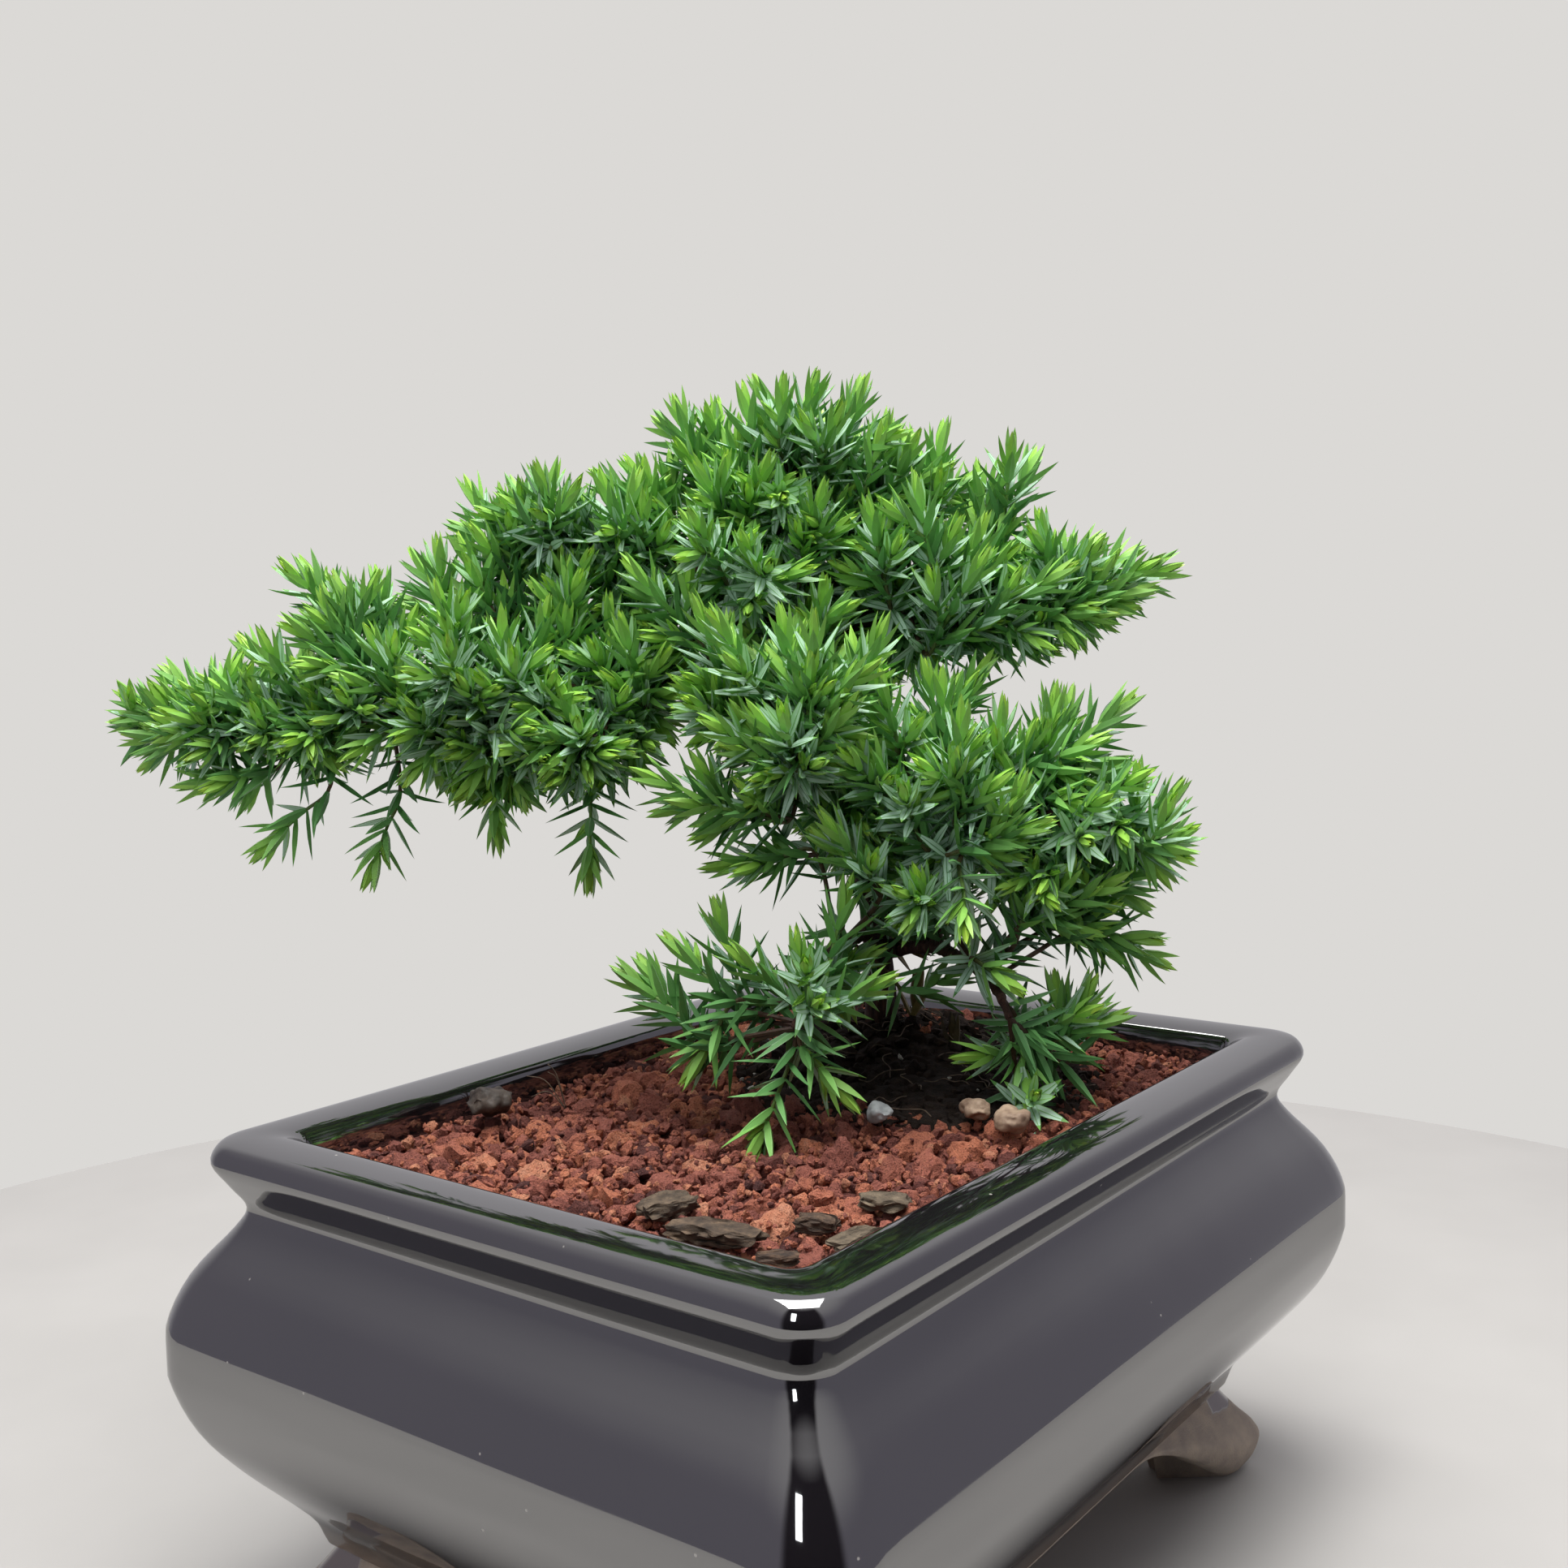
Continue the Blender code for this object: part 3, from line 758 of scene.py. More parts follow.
def bark_slab(node, length, width, thickness, turn, paleness):
    """A split slab, ridged along its length, with ragged sides and ends."""
    middle = Vector(sum(np.array(corner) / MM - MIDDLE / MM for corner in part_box(node)) / 2)
    seed = Vector((length * 3.7, width * 5.3, turn))
    points = []
    for row in range(CHIP_ROWS + 1):
        along = 2 * row / CHIP_ROWS - 1
        for k in range(CHIP_SIDES):
            angle = math.tau * k / CHIP_SIDES
            across = math.copysign(abs(math.cos(angle)) ** SQUARENESS, math.cos(angle))
            up = math.copysign(abs(math.sin(angle)) ** SQUARENESS, math.sin(angle))
            x = along * length / 2
            leaf = round(up * 2.2) * 1.7
            ragged = noise.noise(Vector((x * 0.42, leaf, across * 2)) + seed)
            broken = noise.noise(Vector((across * width * 0.5, leaf, along * 0.6)) + seed)
            ridge = noise.noise(Vector((x * 0.16, across * width * 0.75, up * 3)) + seed)
            splinter = noise.noise(Vector((x * 0.6, across * width * 1.9, up * 4)) + seed)
            point = Vector((
                x * (0.86 + 0.3 * broken),
                across * width / 2 * (0.82 + 0.45 * ragged) * (1 - 0.2 * abs(along) ** 3),
                up * thickness / 2 * (0.8 - 0.25 * along * along) + 0.5 * ridge + 0.25 * splinter - CHIP_SINK,
            ))
            point.rotate(Matrix.Rotation(math.radians(turn), 3, "Z"))
            points.append(point + middle)
    faces = []
    for row in range(CHIP_ROWS):
        for k in range(CHIP_SIDES):
            a = row * CHIP_SIDES + k
            b = row * CHIP_SIDES + (k + 1) % CHIP_SIDES
            faces.append((a, a + CHIP_SIDES, b + CHIP_SIDES, b))
    for first, step in ((0, 1), (CHIP_ROWS * CHIP_SIDES, -1)):
        hub = len(points)
        points.append(sum((points[first + k] for k in range(CHIP_SIDES)), Vector()) / CHIP_SIDES)
        for k in range(CHIP_SIDES):
            faces.append((first + k, first + (k + 1) % CHIP_SIDES, hub)[::step])
    data = bpy.data.meshes.new(f"{node}_worn")
    data.from_pydata(points, [], faces)
    data.shade_smooth()
    data.set_sharp_from_angle(angle=math.radians(CHIP_CREASE))
    mark(data, "tint", [paleness] * len(points))
    return new_piece(f"{node}_worn", data)


def worn(place, normal):
    """Rounds a pebble unevenly."""
    return -0.45 + 1.1 * noise.noise(place / 2.5) + 0.2 * noise.noise(place * 1.1)


def old_bark_finish():
    chip = Finish("weathered_bark_chip")
    leaves = chip.noise(chip.place((0.5, 0.5, 3)), 0.9, 6, 0.65)
    fine = chip.noise(chip.place(), 3.5, 4)
    fresh = leaves.ramp((0.3, 28, 18, 14), (0.5, 60, 42, 31), (0.72, 102, 76, 56))
    faded = leaves.ramp((0.3, 52, 44, 35), (0.5, 96, 84, 68), (0.72, 132, 118, 98))
    coloured = chip.value("tint").mix(fresh, faded)
    relief = chip.bump(fine, 0.2, 0.6, chip.bump(leaves, 0.6, 1.0))
    chip.set(Base_Color=coloured, Roughness=0.78 + fine * 0.15, Normal=relief)
    return chip.material


def pebble_finish(name, dark, pale):
    pebble = Finish(name)
    clouds = pebble.noise(pebble.place(), 0.35, 5, 0.6)
    flecks = pebble.noise(pebble.place(), 2.5, 3)
    coloured = (flecks.between(0.6, 0.7) * 0.4).mix(clouds.ramp((0.32, *dark), (0.68, *pale)), paint(*dark))
    pebble.set(Base_Color=coloured, Roughness=0.5 + flecks * 0.3, Normal=pebble.bump(flecks, 0.08))
    return pebble.material


old_bark = old_bark_finish()
tan_pebble = pebble_finish("tan_pebble", (122, 98, 80), (182, 158, 134))
grey_pebble = pebble_finish("grey_pebble", (134, 140, 142), (188, 192, 192))
dark_stone = pebble_finish("dark_stone", (34, 28, 25), (70, 59, 50))
for k, size in enumerate(CHIPS):
    node = f"bark_chip_{k + 1}"
    fit(bark_slab(node, *size), node, old_bark)
for node, finish, slot in (
    ("grey_pebble", grey_pebble, "grey_stone"),
    ("tan_pebble_1", tan_pebble, "pale_stone"),
    ("tan_pebble_2", tan_pebble, "pale_stone"),
    ("dark_stone", dark_stone, "bark_chip"),
):
    fit(refined_copy(node, f"{node}_worn", 0.3, worn), node, finish)

# ---- the trunk and its limbs
# A young juniper's stem, as thick as a finger at the soil and soon pencil-thin, with nine limbs.
# Its thin bark is dark reddish brown and peels in strips along the wood.

TRUNK = [
    (34, 8, 62, 4.6), (34, 8, 78, 3.6), (33, 7.5, 86, 2.9), (31, 7, 100, 2.6), (28.5, 8.5, 115, 2.5),
    (26, 10, 130, 2.3), (23.5, 12, 145, 2.1), (22, 14, 158, 1.8), (21.5, 16, 176, 1.2),
]
LIMBS = {
    "wing": [
        (25, 10.5, 137, 1.6), (12, 19, 142, 1.7), (-2, 32, 144, 1.6), (-15, 47, 143, 1.4),
        (-28, 62, 140, 1.2), (-40, 78, 138.5, 1.0), (-50, 94, 138.5, 0.7),
    ],
    "shoulder": [(23.5, 12, 145, 1.2), (13, 21, 158, 1.3), (4, 32, 166, 1.1), (-3, 42, 170, 0.8)],
    "right_arm": [
        (22.5, 13, 151, 1.2), (29, 2, 155, 1.4), (38, -12, 157, 1.2), (47, -25, 159, 1.0),
        (53, -34, 160, 0.7),
    ],
    "skirt": [(29, 8.2, 112, 1.3), (26, -8, 118, 1.4), (24, -24, 121, 1.2), (29, -38, 122, 0.8)],
    "front": [(27.5, 9, 121, 1.2), (14, 5, 129, 1.3), (0, 0, 134, 1.1), (-9, -4, 137, 0.8)],
    "low_left": [
        (31.5, 7, 97, 1.1), (20, 2, 100, 1.2), (4, -4, 101, 1.1), (-9, -8, 98, 0.9), (-15, -9, 92, 0.7),
    ],
    "low_right": [(31.8, 7, 94, 1.0), (25, -9, 98, 1.1), (17, -24, 96, 1.0), (12, -31, 91, 0.7)],
    "back": [(25, 11, 136, 1.2), (36, 22, 142, 1.3), (47, 33, 147, 1.1), (54, 41, 150, 0.8)],
    "back_skirt": [(29.5, 8, 109, 1.1), (41, 18, 114, 1.2), (51, 26, 117, 0.9)],
}
LIMB_SIDES = 14
BARK_CELL = 0.3
BARK_RIDGE = 0.28


def bark_finish():
    bark = Finish("juniper_bark")
    strips = bark.noise(bark.place((1, 1, 0.16)), 1.5, 6, 0.7)
    scales = bark.noise(bark.place((1, 1, 0.4)), 3.5, 4, 0.6)
    coloured = strips.ramp((0.3, 34, 20, 17), (0.5, 72, 44, 36), (0.66, 104, 70, 56), (0.82, 138, 112, 96))
    relief = bark.bump(scales, 0.25, 0.8, bark.bump(strips, 0.8, 1.0))
    bark.set(Base_Color=coloured, Roughness=0.75 + scales * 0.2, Normal=relief)
    return bark.material


def ridged(place, normal):
    """Raises the bark's strips, which run up the wood, and its knots."""
    strips = noise.noise(Vector((place.x * 0.9, place.y * 0.9, place.z * 0.14)))
    return BARK_RIDGE * (strips + 0.6 * noise.noise(place / 4) - 0.2)


wood_points, wood_faces, limb_centres = [], [], []
for way in (TRUNK, *LIMBS.values()):
    path = smooth_path(way, 12 * len(way))
    centres = [(x, y, z) for x, y, z, _ in path]
    add_tube(wood_points, wood_faces, centres, [radius for *_, radius in path], LIMB_SIDES)
    limb_centres += centres
wood = bpy.data.meshes.new("trunk_and_limbs")
wood.from_pydata(wood_points, [], wood_faces)
bark_skin = voxel_skin("trunk_and_limbs", wood, BARK_CELL)
move_skin(bark_skin, ridged)
fit(new_piece("trunk_and_limbs", bark_skin), "trunk", bark_finish())

# ---- the foliage
# Each green shoot bears whorls of three stiff awl-shaped needles, 4 to 8 mm long, round a thin
# stem, and ends in a closed bright bud. The inner face of a needle has two pale waxy bands.

# the bulk of each mass of shoots, by limb: balls as x, y, z and radius
LUMPS = {
    "wing_tip": [(-37, 75, 139.5, 11), (-45, 88, 139, 12), (-54, 103, 141.5, 4.5)],
    "wing_middle": [(-6, 38, 142.5, 17), (-15, 48, 141.5, 20), (-22, 57, 140, 14)],
    "shoulder": [(2, 36, 160, 11), (12, 27, 158, 10), (0, 36, 170, 11), (-6, 45, 172, 11), (-10, 52, 172, 8)],
    "crown": [(27, 6, 163, 12), (21, 24, 174, 15), (23, 15, 176, 21), (27, 4, 175, 14)],
    "right_arm": [(36, 2, 154, 12), (37, -11, 158, 12), (45, -24, 159, 12.5), (57, -39, 161.5, 4)],
    "front": [(17, 14, 148, 12), (20, 4, 124, 12), (9, 4, 136, 14), (0, -1, 138, 17), (-10, -6, 138, 11)],
    "skirt": [(28, -3, 110, 11), (27, -16, 120, 14), (28, -30, 121, 19), (31, -43, 120, 11)],
    "low_left": [(3, -4, 101, 9), (-9, -7, 98, 13), (-21, -8, 90, 9)],
    "low_right": [(23, -13, 95, 6), (17, -25, 92.5, 10), (9, -35, 86, 8.5)],
    "back": [(40, 27, 148, 13), (48, 35, 150, 16), (58, 45, 151, 8)],
    "back_skirt": [(43, 19, 116, 10), (50, 25, 117, 13), (58, 31, 117, 8)],
}
# the shoots that stand out, each from where its young growth starts to its tip
SHOOTS = {
    "wing_tip": [
        (-50, 98, 139, -53, 106, 144), (-49, 93, 136, -54, 103, 137), (-45, 92, 141, -47, 102, 148),
        (-44, 82, 141, -48, 89, 146), (-37, 78, 140, -40, 90, 153), (-33, 67, 148, -40, 77, 155),
        (-42, 80, 137, -49, 76, 136), (-38, 73, 137, -46, 70, 136), (-44, 85, 130, -50, 94, 128),
        (-39, 77, 123, -44, 83, 116), (-34, 67, 140, -41, 63, 144),
    ],
    "wing_middle": [
        (-29, 75, 154, -30, 85, 166), (-31, 70, 152, -32, 74, 163), (-26, 68, 152, -24, 73, 164),
        (-31, 60, 144, -36, 61, 154), (-19, 62, 159, -18, 70, 167), (-34, 62, 136, -40, 63, 133),
        (-28, 55, 134, -34, 55, 129), (-29, 67, 120, -32, 69, 111), (-12, 54, 166, -13, 61, 179),
        (-7, 50, 164, -4, 55, 173), (-17, 53, 159, -19, 57, 169), (-26, 51, 150, -30, 51, 161),
        (-22, 44, 145, -24, 42, 156), (-27, 50, 144, -35, 43, 152), (-18, 39, 141, -23, 32, 146),
        (-15, 33, 133, -24, 26, 139), (-20, 34, 135, -27, 40, 134), (-16, 32, 133, -18, 24, 133),
        (-11, 36, 123, -13, 35, 110), (-19, 51, 125, -19, 50, 117), (-12, 39, 155, -11, 39, 165),
        (-29, 55, 137, -36, 52, 141),
    ],
    "shoulder": [
        (-3, 40, 165, -4, 43, 177), (-9, 41, 158, -11, 41, 166), (3, 33, 172, -1, 42, 180),
        (7, 32, 173, 3, 38, 182), (-8, 27, 144, -12, 27, 155), (-3, 22, 154, -9, 28, 164),
        (-2, 15, 164, -10, 13, 171), (-10, 33, 146, -15, 31, 151),
    ],
    "crown": [
        (12, 30, 182, 11, 34, 193), (16, 28, 183, 17, 29, 192), (13, 22, 179, 14, 22, 188),
        (21, 24, 178, 22, 25, 189), (21, 18, 180, 22, 19, 192), (25, 15, 177, 29, 16, 188),
        (22, 9, 174, 24, 8, 184), (31, 5, 177, 34, 5, 189), (36, -3, 174, 38, -4, 187),
        (6, 20, 173, 1, 21, 180), (9, 16, 173, 9, 12, 181), (13, 7, 167, 12, 3, 176),
        (25, -9, 165, 23, -8, 177), (20, -3, 162, 16, -3, 173), (4, 11, 160, -4, 2, 163),
        (11, 4, 152, 9, 1, 160), (43, -9, 170, 45, -7, 180), (43, -12, 168, 53, -14, 183),
        (37, -12, 162, 45, -14, 172), (31, -12, 160, 33, -15, 170),
    ],
    "right_arm": [
        (25, -12, 153, 25, -20, 164), (43, -21, 159, 51, -27, 167), (46, -26, 159, 56, -32, 165),
        (50, -30, 159, 59, -38, 162), (45, -28, 156, 50, -37, 158), (44, -23, 155, 49, -34, 155),
        (31, -19, 155, 37, -29, 162), (37, -20, 154, 44, -33, 154), (35, -12, 151, 43, -23, 148),
    ],
    "front": [
        (-11, 11, 126, -16, 20, 130), (-10, 3, 124, -18, 11, 126), (-8, 10, 139, -17, 9, 142),
        (-7, 10, 146, -12, 11, 157), (-7, 2, 143, -14, 6, 155), (-7, 9, 140, -15, 13, 145),
        (-5, 2, 116, -11, 10, 115), (-5, -3, 144, -7, -2, 155), (-7, -8, 141, -9, -10, 154),
        (-7, -8, 140, -6, -19, 147), (3, -10, 144, 4, -14, 153), (-10, -6, 133, -18, -10, 141),
        (-10, -1, 133, -20, 3, 139), (-3, -13, 116, -9, -11, 124), (4, -18, 123, -3, -14, 135),
        (-1, -14, 129, -8, -14, 134), (5, -15, 136, 1, -15, 145),
    ],
    "skirt": [
        (20, -13, 137, 19, -12, 146), (15, -18, 132, 14, -18, 145), (9, -24, 127, 7, -26, 140),
        (18, -26, 131, 18, -27, 140), (7, -24, 128, 0, -22, 132), (24, -16, 141, 29, -18, 147),
        (28, -29, 131, 30, -30, 142), (33, -29, 132, 37, -29, 141), (30, -31, 131, 41, -38, 140),
        (24, -30, 130, 29, -39, 134), (28, -29, 126, 39, -41, 126), (13, -30, 121, 12, -34, 129),
        (11, -28, 119, 15, -36, 122), (30, -33, 118, 38, -40, 119), (19, -30, 108, 19, -32, 115),
        (29, -36, 110, 31, -38, 117), (33, -38, 110, 40, -44, 113), (22, -34, 107, 27, -43, 112),
        (31, -36, 102, 35, -45, 101), (29, -34, 103, 41, -44, 96), (2, -21, 110, -6, -22, 113),
        (5, -27, 112, -1, -31, 106),
    ],
    "low_left": [
        (-20, 10, 93, -22, 20, 99), (-18, 11, 92, -17, 20, 100), (-17, 7, 99, -18, 13, 104),
        (-14, 3, 99, -15, 6, 110), (-14, -4, 98, -19, 0, 104), (-13, -9, 96, -14, -9, 106),
        (-14, -11, 99, -20, -15, 104), (-7, -10, 101, -4, -12, 113), (-11, -15, 96, -8, -22, 100),
        (-14, -11, 95, -19, -17, 98), (-20, 3, 90, -23, 6, 84), (-17, -8, 84, -23, -6, 72),
        (-14, -12, 87, -13, -18, 81),
    ],
    "low_right": [
        (12, -28, 98, 11, -33, 96), (25, -33, 88, 27, -31, 95), (25, -35, 88, 27, -38, 95),
        (22, -35, 89, 22, -41, 92), (24, -36, 87, 31, -41, 89), (14, -33, 77, 8, -38, 81),
        (16, -28, 84, 10, -23, 84), (16, -31, 84, 14, -33, 77),
    ],
}
# from the bud back along a shoot: the needles' angle to the stem in degrees, how much they bend
# back or forward over their length, their length, their width and the gap to the next whorl
OPENING = (5, 15, 30, 44, 54, 61, 66, 70)
BEND = (-12, -17, -14, -8, -3, 1, 4, 8)
LENGTH = (4.8, 6.2, 7.2, 7.8, 8.2, 8.5, 8.7, 8.7)
WIDTH = (1.5, 1.7, 1.75, 1.75, 1.7, 1.65, 1.6, 1.55)
WHORL_GAP = (0.8, 1.3, 1.8, 2.1, 2.3, 2.4, 2.5, 2.6)
STEM_RADIUS = 0.38
STEM_SIDES = 6
FULL_SHOOT = 9
TIP_NEEDLE = 3.4
LOST_NEEDLES = 0.12
LEAFY = 26
LEAFY_BEHIND = 14
# opening angle and needle length of the two whorls of a bud
BUD_WHORLS = ((14, 3.6), (6, 4.4))
# how far apart the tips of each mass stand, and how many side shoots its named shoots have
SPACING = {
    "wing_tip": (8, 3), "wing_middle": (8, 3), "shoulder": (8, 3), "crown": (8, 3), "right_arm": (9, 2),
    "front": (9, 2), "skirt": (9, 2), "low_left": (17, 0), "low_right": (17, 0), "back": (8.6, 0),
    "back_skirt": (9, 0),
}
# places along a needle, as shares of its length, and how broad it is there
NEEDLE_STATIONS = ((0, 0.55), (0.2, 0.95), (0.5, 0.92), (0.8, 0.45))
CHANNEL = 0.26
KEEL = 0.52
# corners of a needle's section: place across, lift, place in the bands and whether on the inner face
NEEDLE_SECTION = ((-1, CHANNEL, -1, 1), (0, 0, 0, 1), (1, CHANNEL, 1, 1), (0, -KEEL, 0, 0))
NEEDLE_POINT = ((0, 0, 0.5, 0.5),)
SPARE_TIP = 0.6
TREE_BOX = [np.array(corner) / MM - MIDDLE / MM for corner in cad_box]
NEEDLE_CREASE = 55


def turned(way, angle, axis):
    """A copy of a direction, turned about an axis."""
    way = way.copy()
    way.rotate(Matrix.Rotation(angle, 3, axis))
    return way


class Foliage:
    """Gathers the needles and stems of one mass of shoots."""

    def __init__(self):
        self.needles = []
        self.stem_points = []
        self.stem_faces = []
        self.stem_ages = []

    def add_needle(self, place, along, out, opening, bend, *rest):
        self.needles.append((*place, *along, *out, math.radians(opening), math.radians(bend), *rest))

    def add_bud(self, place, along, draw, tint):
        """A short side shoot that has not opened yet."""
        along = along.normalized()
        out = turned(along.orthogonal().normalized(), draw.uniform(0, math.tau), along)
        for whorl, (opening, length) in enumerate(BUD_WHORLS):
            for k in range(3):
                side = turned(out, math.tau * (k / 3 + whorl / 6), along)
                start = place + along * 0.7 * whorl
                self.add_needle(start, along, side, opening, -18, length, 1.3, 0.12, tint)

    def add_shoot(self, route, leafy, draw, spread, dryness=0.0):
        """Whorls of needles back from the tip of a route, with a stem inside them."""
        path = [Vector(point) for point in smooth_path(route, 12 * len(route))]
        steps = [0.0]
        for a, b in zip(path, path[1:]):
            steps.append(steps[-1] + (b - a).length)
        tint = draw.gauss(0.5, 0.16)
        turn = draw.uniform(0, math.tau)
        back = TIP_NEEDLE
        index = 0
        side_buds = draw.choice((0, 0, 1, 1, 2))
        while back < min(leafy, steps[-1] - 0.5):
            where = steps[-1] - back
            k = min(max(i for i, step in enumerate(steps) if step <= where), len(path) - 2)
            share = (where - steps[k]) / max(steps[k + 1] - steps[k], 1e-6)
            place = path[k].lerp(path[k + 1], share)
            along = (path[min(k + 2, len(path) - 1)] - path[max(k - 1, 0)]).normalized()
            out = turned(along.orthogonal().normalized(), turn, along)
            stage = min(index, len(OPENING) - 1)
            age = min(index / FULL_SHOOT, 1)
            for part in range(3):
                side = turned(out, math.tau * part / 3 + draw.gauss(0, 0.12), along)
                if index > 5 and draw.random() < LOST_NEEDLES:
                    continue
                self.add_needle(
                    place + side * STEM_RADIUS * 0.6,
                    along,
                    side,
                    OPENING[stage] * spread + draw.gauss(0, 2 + 3 * age),
                    BEND[stage] + draw.gauss(0, 3 + 5 * age),
                    LENGTH[stage] * draw.uniform(0.88, 1.08),
                    WIDTH[stage] * draw.uniform(0.9, 1.08),
                    dryness or age,
                    tint + draw.gauss(0, 0.08),
                )
            if side_buds and index in (3, 5) and not dryness:
                side_buds -= 1
                side = turned(out, draw.uniform(0, math.tau), along)
                self.add_bud(place + along * 0.4, along * 0.8 + side * draw.uniform(0.45, 0.8), draw, tint)
            back += WHORL_GAP[stage]
            turn += math.pi / 3 + draw.gauss(0, 0.06)
            index += 1
        stem = path[::3]
        if stem[-1] != path[-1]:
            stem.append(path[-1])
        stem[-1] = stem[-1].lerp(stem[-2], 0.6 if len(stem) > 2 else 0.3)
        thick = [STEM_RADIUS * (1.15 - 0.5 * k / len(stem)) for k in range(len(stem))]
        add_tube(self.stem_points, self.stem_faces, stem, thick, STEM_SIDES)
        self.stem_ages += [1 - k // STEM_SIDES / len(stem) for k in range(STEM_SIDES * len(stem))]

    def piece(self, name, *finishes):
        """One mesh of all the needles and stems, with a finish for each of the two."""
        rows = np.array(self.needles)
        place, along, out = rows[:, 0:3], rows[:, 3:6], rows[:, 6:9]
        opening, bend, length, width, age, tint = (rows[:, k][:, None] for k in range(9, 15))
        side = np.cross(along, out)
        bend = np.where(np.abs(bend) < 0.02, 0.02, bend)
        points, marks = [], []
        for t, broad in (*NEEDLE_STATIONS, (1.0, 0.0)):
            angle = opening + bend * t
            forward = (np.sin(angle) - np.sin(opening)) / bend
            sideways = (np.cos(opening) - np.cos(angle)) / bend
            centre = place + (along * forward + out * sideways) * length
            inner = along * np.sin(angle) - out * np.cos(angle)
            half = width * broad / 2
            for across, lift, band, upper in NEEDLE_SECTION if broad else NEEDLE_POINT:
                points.append(centre + side * across * half + inner * lift * half)
                marks.append((band, t, upper))
        count = len(points)
        stacked = np.stack(points, axis=1)
        inside = (stacked > TREE_BOX[0] - SPARE_TIP) & (stacked < TREE_BOX[1] + SPARE_TIP)
        kept = np.all(inside, axis=(1, 2))
        stacked = stacked[kept].reshape(-1, 3)
        points = np.clip(np.concatenate([stacked, self.stem_points]), *TREE_BOX)
        # the four corners of each station are joined to the next ones, and the last ones to the point
        last = 4 * (len(NEEDLE_STATIONS) - 1)
        corners = ((0, 1), (1, 2), (2, 3), (3, 0))
        quads = [(0, 3, 2, 1)]
        for low in range(0, last, 4):
            quads += [(low + a, low + b, low + b + 4, low + a + 4) for a, b in corners]
        tris = [(last + a, last + b, count - 1) for a, b in corners]
        starts = np.arange(kept.sum())[:, None, None] * count
        faces = []
        for pattern in (quads, tris):
            faces += (starts + np.array(pattern)).reshape(-1, len(pattern[0])).tolist()
        needle_faces = len(faces)
        faces += [tuple(index + len(stacked) for index in face) for face in self.stem_faces]
        data = bpy.data.meshes.new(name)
        data.from_pydata(points, [], faces)
        for finish in finishes:
            data.materials.append(finish)
        data.polygons.foreach_set("material_index", [0] * needle_faces + [1] * len(self.stem_faces))
        on_stems = np.zeros(len(self.stem_points))
        for key, values in zip(("across", "along", "upper"), zip(*marks)):
            mark(data, key, np.concatenate([np.tile(values, kept.sum()), on_stems]))
        mark(data, "age", np.concatenate([np.repeat(age[kept, 0], count), self.stem_ages]))
        mark(data, "tint", np.concatenate([np.repeat(tint[kept, 0], count), on_stems]))
        data.shade_smooth()
        data.set_sharp_from_angle(angle=math.radians(NEEDLE_CREASE))
        return new_piece(name, data)


def needle_finish():
    needle = Finish("juniper_needle")
    spot = needle.place()
    along = needle.value("along")
    upper = needle.value("upper").between(0.93, 0.99)
    age = needle.value("age")
    tint = needle.value("tint") + (needle.noise(spot, 0.9, 2) - 0.5) * 0.35
    away = abs(needle.value("across"))
    # both greens darken with age, from the bright bud back to the old needles: partly the real darker green
    # of old needles, partly painted shade for the inside of each mass, where the old needles are
    young = age.ramp(
        (0.0, 182, 222, 84), (0.12, 150, 204, 82), (0.3, 120, 178, 82), (0.6, 94, 152, 82), (1.0, 68, 118, 64)
    )
    back = needle.node("HueSaturation", None, {"Color": young, "Value": tint * 0.5 + 0.76})
    face = age.ramp((0.0, 172, 218, 98), (0.3, 124, 180, 100), (0.8, 94, 150, 98))
    bands = away.between(0.06, 0.16) * away.between(0.93, 0.82) * along.between(0.95, 0.85)
    bands = bands * (0.15 + 0.85 * age.between(0.05, 0.35)) * 0.9
    face = bands.mix(face, paint(190, 222, 202))
    coloured = upper.mix(back, face)
    coloured = (away.between(0.86, 1.0) * 0.35 * upper).mix(coloured, paint(150, 186, 110))
    coloured = (along.between(0.93, 1.0) * 0.5).mix(coloured, paint(168, 172, 104))
    relief = needle.bump(away.between(0.0, 0.3), 0.05, 0.6)
    needle.set(Base_Color=coloured, Roughness=0.38 + bands * 0.25, Normal=relief, Specular_IOR_Level=0.45)
    return needle.material


def twig_finish():
    twig = Finish("green_twig")
    age = twig.value("age")
    mottle = twig.noise(twig.place(), 1.6, 4)
    coloured = (age + (mottle - 0.5) * 0.3).ramp(
        (0.15, 112, 158, 62), (0.45, 86, 112, 52), (0.7, 84, 62, 42), (1.0, 58, 38, 30)
    )
    twig.set(Base_Color=coloured, Roughness=0.6, Normal=twig.bump(mottle, 0.2))
    return twig.material


def lump_tips(lumps, apart, draw):
    """Evenly spread tips over the outside of a mass, with outward directions, clear of the named ones."""
    found = []
    for lump in lumps:
        *middle, radius = lump
        count = int(4 * math.pi * radius**2 / apart**2)
        for k in range(count):
            rise = 1 - 2 * (k + 0.5) / count
            angle = k * math.pi * (3 - math.sqrt(5)) + radius
            flat = math.sqrt(1 - rise * rise)
            out = Vector((flat * math.cos(angle), flat * math.sin(angle), rise))
            out = (out + any_drift(draw, 0.12)).normalized()
            tip = Vector(middle) + out * (radius + draw.uniform(-2.5, 0.5))
            inside = any((tip - Vector(other[:3])).length < other[3] - 3 for other in lumps if other != lump)
            near = any((tip - other).length < apart * 0.75 for other in named_tips)
            sparse = rise < -0.45 and draw.random() < 0.45
            if not (inside or near or sparse):
                found.append((tip, out))
    return found


